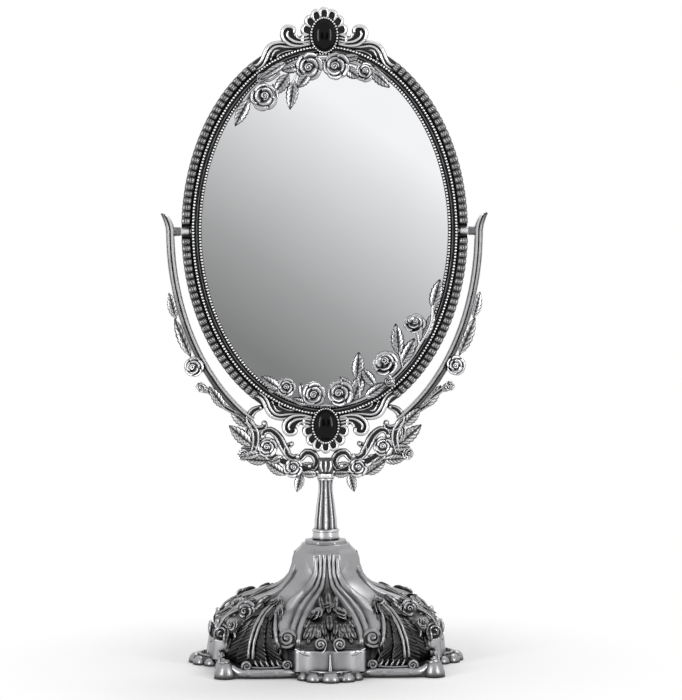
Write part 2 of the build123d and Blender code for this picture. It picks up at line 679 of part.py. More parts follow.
def base_foot():
    """Square flange with scrolls on its lips, a fan of balls on each side and a knob on each corner."""
    outline = RectangleRounded(2 * plan_half, 2 * plan_half, plan_corner)
    for i in range(4):
        turn = pi / 2 * i
        outline += Pos(fan_centre * cos(turn), fan_centre * sin(turn)) * Circle(fan_radius - 2.0)
    foot = Pos(0, 0, foot_gap) * extrude(outline, amount=flange_height)
    pieces = []
    for i in range(fan_balls):
        from_middle = i - (fan_balls - 1) / 2
        swing = radians(-90 + 34 * from_middle)
        size = fan_height - 0.45 * abs(from_middle)
        reach = fan_radius - size * 0.75
        pieces.append(Pos(reach * cos(swing), -fan_centre + reach * sin(swing), foot_gap) * Sphere(size))
    for x in (-lip_scroll_far, -lip_scroll_near, lip_scroll_near, lip_scroll_far):
        scroll = Rot(90, 0, 0) * Cylinder(lip_scroll_radius, lip_scroll_length)
        pieces.append(Pos(x, -(plan_half - 4), flange_height + 2.6) * scroll)
    pieces.append(Pos(knob_centre, -knob_centre, knob_height - knob_radius) * Sphere(knob_radius))
    return foot + quarter_turns(pieces)


def base_shell():
    """The whole casting: hollow, open below, with a pocket for the plate and the felt."""
    body = turned(core_profile, 0, foot_gap) + [neck(), base_foot()]
    body += quarter_turns([side_lobe(), corner_lobe()])
    throat = crown_underside - core_profile[-1][1] + 6
    side_room = lobe_room(side_profile, side_edge, side_round)
    corner_room = lobe_room(corner_profile, corner_edge, corner_round).rotate(Axis.Z, 45)
    pocket = RectangleRounded(2 * pocket_half, 2 * pocket_half, plan_corner)
    return body - [
        turned(core_profile, base_wall, 0), *quarter_turns([side_room, corner_room]),
        Pos(0, 0, crown_underside - throat / 2) * Cylinder(neck_apothem - base_wall, throat),
        extrude(pocket, amount=plate_top),
        Pos(0, 0, base_height) * Cylinder(rod_radius + rod_clearance, 20),
        Pos(0, 0, foot_gap - base_height) * Box(4 * plan_half, 4 * plan_half, 2 * base_height),
    ]


def base_quarters():
    """The casting cut on its diagonals, so that each piece has simple walls round the hollow."""
    shell = base_shell()
    far = 2 * plan_half
    wedge = extrude(make_face(Polyline((0, 0), (-far, -far), (far, -far), (0, 0))), amount=far)
    sides = {"front": 0, "right": 90, "back": 180, "left": 270}
    return {f"base_shell_{side}": shell & wedge.rotate(Axis.Z, turn) for side, turn in sides.items()}


def pocket_sheet(z, thickness, inset):
    half = pocket_half - inset
    return Pos(0, 0, z) * extrude(RectangleRounded(2 * half, 2 * half, plan_corner), amount=thickness)


def tie_rod_set():
    nut_top = crown_underside - rod_washer_thickness
    rod_bottom = nut_top - nut_height - 2.0
    rod_top = stem_top + rod_engagement - 0.5
    rod = Pos(0, 0, (rod_bottom + rod_top) / 2) * Cylinder(rod_radius, rod_top - rod_bottom)
    bore = rod_radius + 0.02
    hexagon = RegularPolygon(nut_across_flats / 2, 6, major_radius=False)
    nut = Pos(0, 0, nut_top - nut_height) * extrude(hexagon, amount=nut_height)
    nut -= Pos(0, 0, nut_top - nut_height / 2) * Cylinder(bore, nut_height + 2)
    washer_middle = nut_top + rod_washer_thickness / 2
    washer = Pos(0, 0, washer_middle) * Cylinder(rod_washer_radius, rod_washer_thickness)
    washer -= Pos(0, 0, nut_top) * Cylinder(rod_radius + rod_clearance, 2 * rod_washer_thickness + 2)
    return rod, nut, washer


# ---------------------------------------------------------------- build and export
def build_mirror():
    parts = {"front_frame": front_frame(), "rear_frame": rear_frame()}
    parts["front_glass"] = plate(pane_sketch(), glass_thickness, start=board_thickness / 2)
    parts["rear_magnifying_glass"] = rear_pane()
    parts["backing_board"] = plate(pane_sketch(), board_thickness, start=-board_thickness / 2)
    upper = spray(upper_leaves, upper_roses, upper_stems)
    lower = spray(lower_leaves, lower_roses, lower_stems)
    parts["front_upper_rose_spray"] = upper
    parts["front_lower_rose_spray"] = lower
    parts["rear_upper_rose_spray"] = upper.rotate(Axis.Z, 180)
    parts["rear_lower_rose_spray"] = lower.rotate(Axis.Z, 180)
    for level, z in (("upper", crest_centre), ("lower", -crest_centre)):
        parts[f"front_{level}_cabochon"] = stone(z)
        parts[f"rear_{level}_cabochon"] = stone(z).rotate(Axis.Z, 180)
        parts[f"{level}_frame_screw"] = frame_screw(z)
    return parts


def build_stand():
    rod, nut, washer = tie_rod_set()
    parts = {"stem_tie_rod": rod, "tie_rod_nut": nut, "tie_rod_washer": washer}
    parts.update(base_quarters())
    parts["felt_pad"] = pocket_sheet(0, felt_thickness, fit_gap)
    parts["base_plate"] = pocket_sheet(felt_thickness, plate_thickness, fit_gap)
    parts["stem"] = stem()
    parts["stem_collar"] = stem_collar()
    return parts


for name, shape in build_mirror().items():
    save(at_pivot(shape), name)
for name, shape in build_stand().items():
    save(shape, name)
save(at_pivot(yoke()), "yoke")
for side, word in ((-1, "left"), (1, "right")):
    for name, shape in pivot_set(side).items():
        save(at_pivot(shape), f"{word}_{name}")
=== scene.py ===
import json
import math
import bpy
import numpy as np
from mathutils import Matrix, Vector


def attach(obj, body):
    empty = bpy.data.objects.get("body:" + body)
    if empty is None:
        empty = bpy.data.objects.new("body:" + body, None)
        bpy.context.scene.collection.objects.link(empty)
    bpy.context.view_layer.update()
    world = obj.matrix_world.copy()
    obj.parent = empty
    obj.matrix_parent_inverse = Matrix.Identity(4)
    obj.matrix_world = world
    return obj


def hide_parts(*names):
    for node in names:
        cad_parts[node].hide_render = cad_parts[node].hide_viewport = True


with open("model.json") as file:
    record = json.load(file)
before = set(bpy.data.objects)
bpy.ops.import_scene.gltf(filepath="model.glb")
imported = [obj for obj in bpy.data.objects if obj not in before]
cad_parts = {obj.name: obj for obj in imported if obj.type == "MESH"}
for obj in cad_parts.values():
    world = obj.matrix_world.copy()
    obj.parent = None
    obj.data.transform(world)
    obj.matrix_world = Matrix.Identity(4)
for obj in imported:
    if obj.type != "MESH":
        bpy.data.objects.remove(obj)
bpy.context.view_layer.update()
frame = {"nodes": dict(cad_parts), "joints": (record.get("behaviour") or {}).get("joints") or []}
mm = 0.001
pivot = frame["joints"][0]["pos_m"][2] / mm  # height of the tilt axis
print("frame loaded, tilt axis at", round(pivot, 2), "mm")


def deselect():
    if bpy.context.object and bpy.context.object.mode != "OBJECT":
        bpy.ops.object.mode_set(mode="OBJECT")
    bpy.ops.object.select_all(action="DESELECT")


def pick(*objects):
    deselect()
    for thing in objects:
        thing.select_set(True)
    bpy.context.view_layer.objects.active = objects[0]


def joined(name, pieces):
    # several modelled parts become one piece, placed in its mesh
    pick(*pieces)
    if len(pieces) > 1:
        bpy.ops.object.join()
    whole = bpy.context.object
    bpy.ops.object.transform_apply(location=True, rotation=True, scale=True)
    whole.name = whole.data.name = name
    return whole


def paint(piece, values):
    # how much black patina is left at each point, 0 to 1
    layer = piece.data.attributes.get("patina") or piece.data.attributes.new("patina", "FLOAT", "POINT")
    layer.data.foreach_set("value", np.clip(np.asarray(values, float), 0, 1))


def paintFlanks(piece):
    # buffing a flat casting cleans what faces the front or the back and leaves the flanks black
    normals = np.array([v.normal.y for v in piece.data.vertices])
    paint(piece, 1.25 - 1.7 * np.abs(normals))


def newObject(name, points, faces):
    # points in metres
    mesh = bpy.data.meshes.new(name)
    mesh.from_pydata(points, [], faces)
    piece = bpy.data.objects.new(name, mesh)
    bpy.context.scene.collection.objects.link(piece)
    return piece


def fromRows(name, rows, closeAlong=False, closeAcross=False, caps=False, patina=None):
    # skin over rows of points in mm, each row the same length; patina is one value for each column
    rows = np.asarray(rows, float)
    count, width = rows.shape[:2]
    faces = []
    for i in range(count if closeAlong else count - 1):
        for j in range(width if closeAcross else width - 1):
            a, b = i * width + j, i * width + (j + 1) % width
            c, d = ((i + 1) % count) * width + (j + 1) % width, ((i + 1) % count) * width + j
            faces.append((a, b, c, d))
    if caps:
        faces.append(tuple(range(width))[::-1])
        faces.append(tuple((count - 1) * width + j for j in range(width)))
    skin = newObject(name, (rows.reshape(-1, 3) * mm).tolist(), faces)
    if patina is not None:
        paint(skin, np.resize(np.asarray(patina, float), count * width))
    tidyNormals(skin)
    return skin


def tidyNormals(piece, merge=0.00001):
    pick(piece)
    bpy.ops.object.mode_set(mode="EDIT")
    bpy.ops.mesh.select_all(action="SELECT")
    bpy.ops.mesh.remove_doubles(threshold=merge)
    bpy.ops.mesh.normals_make_consistent(inside=False)
    bpy.ops.object.mode_set(mode="OBJECT")


def smooth(piece, degrees=40):
    pick(piece)
    bpy.ops.object.shade_smooth_by_angle(angle=math.radians(degrees))


def applyModifiers(piece):
    pick(piece)
    for modifier in list(piece.modifiers):
        bpy.ops.object.modifier_apply(modifier=modifier.name)


def stamped(name, pattern, places):
    # copies of one modelled pattern at each 4x4 placement, in one mesh
    count = len(pattern.data.vertices)
    flat = np.empty(count * 3)
    pattern.data.vertices.foreach_get("co", flat)
    corners = np.c_[flat.reshape(-1, 3), np.ones(count)]
    polygons = [tuple(p.vertices) for p in pattern.data.polygons]
    stain = np.zeros(count)
    if "patina" in pattern.data.attributes:
        pattern.data.attributes["patina"].data.foreach_get("value", stain)
    points, faces = [], []
    for i, place in enumerate(places):
        matrix = np.array(place)
        points.append((corners @ matrix.T)[:, :3])
        turned = matrix[:3, :3]
        flipped = np.linalg.det(turned) < 0
        faces += [tuple(v + i * count for v in (reversed(p) if flipped else p)) for p in polygons]
    copy = newObject(name, np.concatenate(points).tolist(), faces)
    copy.data.polygons.foreach_set("use_smooth", [True] * len(faces))
    paint(copy, np.tile(stain, len(places)))
    return copy


def discard(*objects):
    for thing in objects:
        bpy.data.objects.remove(thing)


def placed(position, out, up, size, depth=None, width=None):
    # a pattern drawn with +Z out of the surface and +Y along up, in mm
    out = Vector(out).normalized()
    up = Vector(up)
    up = (up - out * up.dot(out)).normalized()
    side = up.cross(out)
    depth = size if depth is None else depth
    width = size if width is None else width
    matrix = Matrix((
        (side.x * width, up.x * size, out.x * depth, position[0]),
        (side.y * width, up.y * size, out.y * depth, position[1]),
        (side.z * width, up.z * size, out.z * depth, position[2]),
        (0, 0, 0, 1)))
    return Matrix.Diagonal((mm, mm, mm, 1)) @ matrix


def castPlate(name, outline, travel, edgeWidth, edgeSteps, sharp):
    # a flat casting: an outline in mm pushed along travel, rounded where it turns by more than sharp degrees
    piece = newObject(name, [[c * mm for c in point] for point in outline], [tuple(range(len(outline)))])
    pick(piece)
    bpy.ops.object.mode_set(mode="EDIT")
    bpy.ops.mesh.select_all(action="SELECT")
    bpy.ops.mesh.extrude_region_move(TRANSFORM_OT_translate={"value": [c * mm for c in travel]})
    bpy.ops.mesh.select_all(action="SELECT")
    bpy.ops.mesh.normals_make_consistent(inside=False)
    bpy.ops.object.mode_set(mode="OBJECT")
    edge = piece.modifiers.new("edge", "BEVEL")
    edge.width = edgeWidth * mm
    edge.segments = edgeSteps
    edge.limit_method = "ANGLE"
    edge.angle_limit = math.radians(sharp)
    piece.modifiers.new("faces", "TRIANGULATE")
    applyModifiers(piece)
    return piece


def ridges(name, strokes, sides=2, resolution=5):
    # rounded ridges along smooth lines; each stroke is (points in mm, widths in mm)
    curve = bpy.data.curves.new(name, "CURVE")
    curve.dimensions = "3D"
    curve.bevel_depth = 0.5 * mm
    curve.bevel_resolution = sides
    curve.resolution_u = resolution
    curve.use_fill_caps = True
    for points, widths in strokes:
        spline = curve.splines.new("BEZIER")
        spline.bezier_points.add(len(points) - 1)
        for k, (knot, point) in enumerate(zip(spline.bezier_points, points)):
            knot.co = [c * mm for c in point]
            knot.handle_left_type = knot.handle_right_type = "AUTO"
            t = k / max(1, len(points) - 1)
            knot.radius = float(np.interp(t, np.linspace(0, 1, len(widths)), widths))
    line = bpy.data.objects.new(name, curve)
    bpy.context.scene.collection.objects.link(line)
    pick(line)
    bpy.ops.object.convert(target="MESH")
    piece = bpy.context.object
    tidyNormals(piece)
    smooth(piece, 60)
    return piece


def spiralPoints(x, z, radius, turns, start, direction=1, count=14, shrink=0.22):
    # a volute's line from its outer end inwards
    points = []
    for k in range(count):
        t = k / (count - 1)
        angle = math.radians(start) + direction * turns * 2 * math.pi * t
        r = radius * (1 - (1 - shrink) * t)
        points.append((x + r * math.cos(angle), z + r * math.sin(angle)))
    return points


def smoothLine(points, step=1.5):
    # a curve through the points, evenly stepped
    p = np.asarray(points, float)
    p = np.vstack([2 * p[0] - p[1], p, 2 * p[-1] - p[-2]])
    line = []
    for a, b, c, d in zip(p, p[1:], p[2:], p[3:]):
        count = max(2, int(np.linalg.norm(c - b) / step))
        for t in np.arange(count) / count:
            bend = (2 * a - 5 * b + 4 * c - d) * t ** 2 + (3 * b - a - 3 * c + d) * t ** 3
            line.append(0.5 * (2 * b + (c - a) * t + bend))
    line.append(p[-2])
    return np.array(line)


def beside(line, away):
    # the line moved sideways by away, one value or one for each point
    ahead = np.gradient(line, axis=0)
    ahead /= np.maximum(1e-9, np.linalg.norm(ahead, axis=1))[:, None]
    return line + np.c_[-ahead[:, 1], ahead[:, 0]] * np.reshape(away, (-1, 1))


def turnedRound(piece, name):
    # the same piece on the other face of the mirror
    copy = piece.copy()
    copy.data = piece.data.copy()
    bpy.context.scene.collection.objects.link(copy)
    copy.data.transform(Matrix.Rotation(math.pi, 4, "Z"))
    copy.name = copy.data.name = name
    return copy


def toFront(points, depth):
    # drawing on the mirror's face: x, height above the axis, at a depth in front of the middle
    return [(x, -depth, z + pivot) for x, z in points]


def fromHex(code):
    channels = [int(code[i:i + 2], 16) / 255 for i in (1, 3, 5)]
    linear = [c / 12.92 if c <= 0.04045 else ((c + 0.055) / 1.055) ** 2.4 for c in channels]
    return (*linear, 1.0)


def addNode(tree, kind, settings=None, **links):
    node = tree.nodes.new(kind)
    for key, value in (settings or {}).items():
        if key in node.inputs:
            node.inputs[key].default_value = value
        else:
            setattr(node, key, value)
    for key, source in links.items():
        target = node.inputs[int(key[2:])] if key.startswith("in") and key[2:].isdigit() else node.inputs[key]
        tree.links.new(source, target)
    return node


def newMaterial(name):
    material = bpy.data.materials.new(name)
    material.use_nodes = True
    tree = material.node_tree
    return material, tree, tree.nodes["Principled BSDF"]


def ramp(tree, source, stops):
    node = addNode(tree, "ShaderNodeValToRGB", None, Fac=source)
    elements = node.color_ramp.elements
    while len(elements) < len(stops):
        elements.new(0.5)
    for element, (position, colour) in zip(elements, stops):
        element.position = position
        element.color = colour
    return node.outputs["Color"]


# wear that all the cast pewter shares
pewterWear = {
    "patchScale": 250.0, "patchShare": 0.2,  # buffing is uneven over about 4 mm
    "streakScale": (1200.0, 1200.0, 70.0), "streakShare": 0.22,  # rubbing: upright, 0.8 mm apart and 15 mm long
    "level": 0.21,  # the middle of both, taken off again
    "stops": (0.12, 0.55, 0.95),  # where the tones of recess, slope and edge stand
    "grainScale": 1600.0, "grainStrength": 0.12, "grainHeight": 0.08,  # casting grain, 0.6 mm so that it shows
}


def pewter(name, recess, middle, edge, roughness, reach):
    # cast zinc alloy with antique pewter plate, blackened all over and then buffed:
    # hollows stay black, slopes are grey and high edges nearly white
    wear = pewterWear
    material, tree, shader = newMaterial(name)
    coords = addNode(tree, "ShaderNodeTexCoord").outputs["Object"]
    # cavities a few millimetres deep keep their black
    cavity = addNode(tree, "ShaderNodeAmbientOcclusion", {"samples": 8, "Distance": reach * mm}).outputs["AO"]
    # black that the buffing wheel never touched
    stain = addNode(tree, "ShaderNodeAttribute", {"attribute_name": "patina"}).outputs["Fac"]
    clean = addNode(tree, "ShaderNodeMath", {"operation": "SUBTRACT"}, in1=stain)
    clean.inputs[0].default_value = 1.0
    kept = addNode(tree, "ShaderNodeMath", {"operation": "MULTIPLY"}, in0=cavity, in1=clean.outputs[0])
    patches = addNode(tree, "ShaderNodeTexNoise", {"Scale": wear["patchScale"], "Detail": 3.0}, Vector=coords)
    uneven = addNode(tree, "ShaderNodeMath", {"operation": "MULTIPLY_ADD"}, in0=patches.outputs["Fac"],
                     in2=kept.outputs[0])
    uneven.inputs[1].default_value = wear["patchShare"]
    along = addNode(tree, "ShaderNodeMapping", {"Scale": wear["streakScale"]}, Vector=coords).outputs[0]
    streaks = addNode(tree, "ShaderNodeTexNoise", {"Scale": 1.0, "Detail": 1.0}, Vector=along).outputs["Fac"]
    rubbed = addNode(tree, "ShaderNodeMath", {"operation": "MULTIPLY_ADD"}, in0=streaks, in2=uneven.outputs[0])
    rubbed.inputs[1].default_value = wear["streakShare"]
    level = addNode(tree, "ShaderNodeMath", {"operation": "SUBTRACT"}, in0=rubbed.outputs[0])
    level.inputs[1].default_value = wear["level"]
    tones = [fromHex(code) for code in (recess, middle, edge)]
    tone = ramp(tree, level.outputs[0], list(zip(wear["stops"], tones)))
    tree.links.new(tone, shader.inputs["Base Color"])
    shader.inputs["Metallic"].default_value = 1.0
    shader.inputs["Roughness"].default_value = roughness
    grain = addNode(tree, "ShaderNodeTexNoise", {"Scale": wear["grainScale"], "Detail": 2.0}, Vector=coords)
    grainRelief = {"Strength": wear["grainStrength"], "Distance": wear["grainHeight"] * mm}
    bump = addNode(tree, "ShaderNodeBump", grainRelief, Height=grain.outputs["Fac"])
    tree.links.new(bump.outputs["Normal"], shader.inputs["Normal"])
    return material


# frames and yoke: bright edges over deep black
framePewter = pewter("castPewterAntiqued", "#343434", "#6C6C6D", "#DADADC", 0.32, 2.2)
# sprays and stem: softer, buffed lighter on the slopes
brightPewter = pewter("castPewterBuffed", "#262626", "#707072", "#C0C0C2", 0.32, 2.2)
# base: greyer, rubbed by hand
basePewter = pewter("castPewterHandRubbed", "#383838", "#6A6A6B", "#9E9EA0", 0.35, 2.8)


def workedMaterial(name, tones, roughness, grain, bumpHeight, metallic=0.0, ior=1.5):
    # tones run over grain mm of the surface; bumpHeight in mm is the relief of the same grain
    material, tree, shader = newMaterial(name)
    coords = addNode(tree, "ShaderNodeTexCoord").outputs["Object"]
    noise = addNode(tree, "ShaderNodeTexNoise", {"Scale": 1 / (grain * mm), "Detail": 3.0},
                    Vector=coords).outputs["Fac"]
    tone = ramp(tree, noise, [(0.3, fromHex(tones[0])), (0.7, fromHex(tones[1]))])
    tree.links.new(tone, shader.inputs["Base Color"])
    shader.inputs["Roughness"].default_value = roughness
    shader.inputs["Metallic"].default_value = metallic
    if not metallic:
        shader.inputs["IOR"].default_value = ior
    bump = addNode(tree, "ShaderNodeBump", {"Strength": 0.3, "Distance": bumpHeight * mm}, Height=noise)
    tree.links.new(bump.outputs["Normal"], shader.inputs["Normal"])
    return material


# polished glass over silver: a clean mirror, its tone drifts a little over the silvering
silver = workedMaterial("silveredFloatGlass", ("#F1F2F3", "#F4F5F6"), 0.015, 60.0, 0.0, 1.0)
# moulded and polished: black with soft long glints
onyx = workedMaterial("polishedBlackResin", ("#020202", "#050505"), 0.14, 12.0, 0.0, ior=1.25)
# turned and plated: grey with a faint turned grain
steel = workedMaterial("platedSteelPins", ("#7E7E80", "#98989A"), 0.3, 0.6, 0.01, 1.0)
# the spacers keep more of their patina
spacerSteel = workedMaterial("patinatedSteelSpacers", ("#58585A", "#8C8C8E"), 0.32, 0.8, 0.01, 1.0)
# the barrels are turned steel, brighter than the pins; their tone is lifted further as painted light that makes
# up for the dark notch they reflect
barrelSteelPaintedLight = workedMaterial("buffedSteelBarrels", ("#C4C4C6", "#DCDCDE"), 0.5, 0.8, 0.01, 1.0)
# pressed wood fibre: brown with pale and dark fibres
board = workedMaterial("pressedHardboard", ("#3C2A1C", "#5A4430"), 0.85, 1.2, 0.05)
# sprayed and baked: black with a slight orange peel
enamel = workedMaterial("blackEnamelledSteel", ("#0D0D0E", "#151516"), 0.35, 1.5, 0.02)
# pressed wool: black with lint
felt = workedMaterial("blackWoolFelt", ("#0E0E0F", "#1E1E20"), 0.95, 0.7, 0.2)
print("materials ready")


def coat(piece, material):
    piece.data.materials.clear()
    piece.data.materials.append(material)


def finish(piece, material, body, slot, *replaced):
    coat(piece, material)
    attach(piece, body)
    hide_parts(*replaced)


def beadPattern():
    # a cast half-round bead of radius 1
    deselect()
    bpy.ops.mesh.primitive_ico_sphere_add(subdivisions=2, radius=1)
    bead = bpy.context.object
    bpy.ops.object.mode_set(mode="EDIT")
    bpy.ops.mesh.select_all(action="SELECT")
    bpy.ops.mesh.bisect(plane_co=(0, 0, -0.45), plane_no=(0, 0, 1), clear_inner=True, use_fill=False)
    bpy.ops.object.mode_set(mode="OBJECT")
    bead.name = "beadPattern"
    paint(bead, [0.9 - 1.5 * v.co.z for v in bead.data.vertices])
    return bead


leafShape = {
    "rows": 24, "columns": 8, "veins": 6.0, "skew": 1.5, "teeth": 0.22, "arch": 0.14, "curl": 0.10,
    "groove": 0.05, "thickness": 0.09, "midrib": 0.14,
    # powers: below 1 the widest part moves to the root, and the ends get blunter
    "widest": 0.85, "bluntness": 0.58,
}


def leafPattern(name, shape):
    # a pointed leaf of length 1 along +Y, cast with a midrib groove and side veins
    deselect()
    bpy.ops.mesh.primitive_grid_add(x_subdivisions=shape["columns"], y_subdivisions=shape["rows"], size=1)
    leaf = bpy.context.object
    stains = []
    for vertex in leaf.data.vertices:
        across, along = vertex.co.x * 2, vertex.co.y + 0.5
        half = 0.0
        if 0 < along < 1:
            half = 0.5 * math.sin(math.pi * min(1, along ** shape["widest"])) ** shape["bluntness"]
        away = abs(across)
        half *= 1 + shape["teeth"] * ((along * shape["veins"]) % 1 - 0.5) * away ** 4
        vein = (0.5 + 0.5 * math.cos(2 * math.pi * (shape["veins"] * along - shape["skew"] * away))) ** 3
        vein *= min(1, 4 * away) * (1 - 0.4 * away)
        midrib = math.exp(-(away / shape["midrib"]) ** 2)
        rise = shape["arch"] * (1 - away ** 2) * math.sin(math.pi * along)
        rise -= shape["groove"] * (vein + 1.2 * midrib)
        vertex.co = (across * half, along, rise + shape["curl"] * along ** 2)
        stains.append(max(0.85 * vein, 0.95 * midrib, 0.5 * away ** 8))
    paint(leaf, stains)
    thick = leaf.modifiers.new("thickness", "SOLIDIFY")
    thick.thickness = shape["thickness"]
    thick.offset = -1
    applyModifiers(leaf)
    tidyNormals(leaf, 0.002)
    leaf.name = name
    return leaf


# rings of petals: inner and outer radius and the height at each, spread of a petal and turn of the first one
# in degrees, lift of one edge, and how far the ring's centre is moved
petalRings = [
    {"petals": 5, "inner": 0.40, "outer": 1.04, "low": 0.02, "high": 0.34, "spread": 88, "turn": 8,
     "lift": 0.20, "shift": (0, 0)},
    {"petals": 3, "inner": 0.24, "outer": 0.70, "low": 0.18, "high": 0.62, "spread": 140, "turn": 40,
     "lift": 0.26, "shift": (-0.05, -0.05)},
]
rosebud = {"centre": (-0.1, -0.07), "radius": 0.30, "start": 20, "pointsPerTurn": 8.2, "shrink": 0.12,
           "height": 0.66, "climb": 0.012, "width": 0.12}


def rosePattern(name, petalGrid, budTurns):
    # an open rose of radius 1 that faces +Z: cupped petals in rings round a rolled bud
    petals = []
    for ring in petalRings:
        for k in range(ring["petals"]):
            deselect()
            bpy.ops.mesh.primitive_grid_add(x_subdivisions=petalGrid[0], y_subdivisions=petalGrid[1], size=2)
            petal = bpy.context.object
            middle = math.radians(ring["turn"] + 360 * k / ring["petals"])
            stains = []
            for vertex in petal.data.vertices:
                side, out = vertex.co.x, (vertex.co.y + 1) / 2
                rim = 1 - 0.30 * abs(side) ** 2.6 - 0.04 * math.exp(-(side / 0.2) ** 2)
                r = ring["inner"] + (ring["outer"] - ring["inner"]) * out * rim
                z = ring["low"] + (ring["high"] - ring["low"]) * min(out, 0.84) ** 1.5 + ring["lift"] * side
                z -= 1.1 * (ring["high"] - ring["low"]) * max(0, out - 0.84)  # rolled rim
                angle = middle + math.radians(ring["spread"] / 2) * side
                vertex.co = (r * math.cos(angle) + ring["shift"][0], r * math.sin(angle) + ring["shift"][1], z)
                stains.append(1.05 - 2.0 * out)
            paint(petal, stains)
            thick = petal.modifiers.new("thickness", "SOLIDIFY")
            thick.thickness = 0.06
            thick.offset = 0
            petals.append(petal)
    for petal in petals:
        applyModifiers(petal)
    coil = spiralPoints(*rosebud["centre"], rosebud["radius"], budTurns, rosebud["start"], 1,
                        round(rosebud["pointsPerTurn"] * budTurns), rosebud["shrink"])
    roll = [(x / mm, y / mm, (rosebud["height"] + rosebud["climb"] * k) / mm) for k, (x, y) in enumerate(coil)]
    bud = ridges("rosebud", [(roll, [rosebud["width"] / mm])], sides=1, resolution=2)
    petals.append(bud)
    deselect()
    bpy.ops.mesh.primitive_cone_add(vertices=20, radius1=0.84, radius2=0.2, depth=0.5, location=(0, 0, 0.2))
    ground = bpy.context.object  # the cast ground under the petals
    paint(ground, [1.0] * len(ground.data.vertices))
    petals.append(ground)
    rose = joined(name, petals)
    tidyNormals(rose, 0.001)
    return rose


bead = beadPattern()
leaf = leafPattern("leafPattern", leafShape)
plainLeaf = {**leafShape, "rows": 6, "columns": 2, "veins": 2.0, "teeth": 0.0, "curl": 0.05}
feather = leafPattern("featherPattern", plainLeaf)
rose = rosePattern("rosePattern", (8, 6), 1.7)
smallLeaf = leafPattern("smallLeafPattern", {**leafShape, "rows": 9, "columns": 4, "veins": 3.0, "teeth": 0.1})
smallRose = rosePattern("smallRosePattern", (5, 3), 1.1)
print("patterns modelled: bead, leaf, feather and rose")


ovalFrame = {
    "halfWidth": 81.0, "halfHeight": 110.0, "steps": 480,
    "section": [(0.5, 0.0), (0.25, 2.2), (0.6, 3.4), (1.6, 3.9), (4.4, 3.9), (5.1, 3.4), (5.5, 3.2), (6.0, 4.2),
                (7.6, 4.2), (7.9, 3.3), (8.4, 3.3), (8.6, 4.4), (9.2, 4.4), (9.5, 3.9), (11.3, 5.0),
                (11.6, 4.6), (11.6, 4.0), (7.8, 4.0), (7.8, 0.0)],
    # black left on each point of the section: grooves and bead seats stay dark, the inner lip is buffed
    "patina": [0.6, 0.7, 0.9, 0.95, 0.95, 1, 1, 0.9, 0.9, 1, 1, 0.4, 0.4, 1, 0.9, 0.7, 0.6, 0.8, 0.8],
    "beadRows": [(6.8, 1.75, 0.86, 4.4), (10.7, 1.7, 0.74, 5.0)],  # inset, pitch, radius, depth of the centre
    "crestHalf": 41.0,  # half width that the crests cover
    "notchFloor": 0.2, "notchInset": 5.3, "notchHalf": 4.0,  # where the band is cut for the swivel barrels
    "gadroonPitch": 3.9,
    # rows of blocks on the face and on the outer edge: inset, depth, faces forward, length, rise, width
    "gadroons": [(2.6, 4.2, True, 4.7, 2.0, 3.3), (0.9, 1.9, False, 3.4, 1.3, 3.3)],
}


def ovalLine(inset, pitch=None, count=None):
    # points round the oval at an inset, evenly spaced, with the outward direction at each
    a, b = ovalFrame["halfWidth"], ovalFrame["halfHeight"]
    t = np.linspace(0, 2 * np.pi, 4001)
    out = np.c_[b * np.cos(t), a * np.sin(t)]
    out /= np.linalg.norm(out, axis=1)[:, None]
    line = np.c_[a * np.cos(t), b * np.sin(t)] - inset * out
    travel = np.r_[0, np.cumsum(np.linalg.norm(np.diff(line, axis=0), axis=1))]
    count = count or 4 * round(travel[-1] / pitch / 4)
    where = np.arange(count) * travel[-1] / count + travel[-1] / count / 2
    x, z = (np.interp(where, travel, line[:, k]) for k in (0, 1))
    ox, oz = (np.interp(where, travel, out[:, k]) for k in (0, 1))
    return [((x[i], z[i]), (ox[i], oz[i])) for i in range(count)]


def gadroonPattern():
    # one block of the band: rounded, with three rolls across it
    deselect()
    bpy.ops.mesh.primitive_cube_add(size=1)
    block = bpy.context.object
    bpy.ops.object.mode_set(mode="EDIT")
    bpy.ops.mesh.select_all(action="SELECT")
    bpy.ops.mesh.bisect(plane_co=(0, 0, -0.1), plane_no=(0, 0, 1), clear_inner=True)
    bpy.ops.mesh.select_all(action="SELECT")
    bpy.ops.mesh.bevel(offset=0.16, segments=1)
    bpy.ops.object.mode_set(mode="OBJECT")
    paint(block, [0.42] * len(block.data.vertices))
    parts = [block]
    for along in (-0.26, 0.0, 0.26):
        deselect()
        bpy.ops.mesh.primitive_cylinder_add(vertices=6, radius=0.09, depth=0.84, location=(0, along, 0.5),
                                            rotation=(0, math.pi / 2, 0.12))
        paint(bpy.context.object, [0.3] * len(bpy.context.object.data.vertices))
        parts.append(bpy.context.object)
    return joined("gadroonPattern", parts)


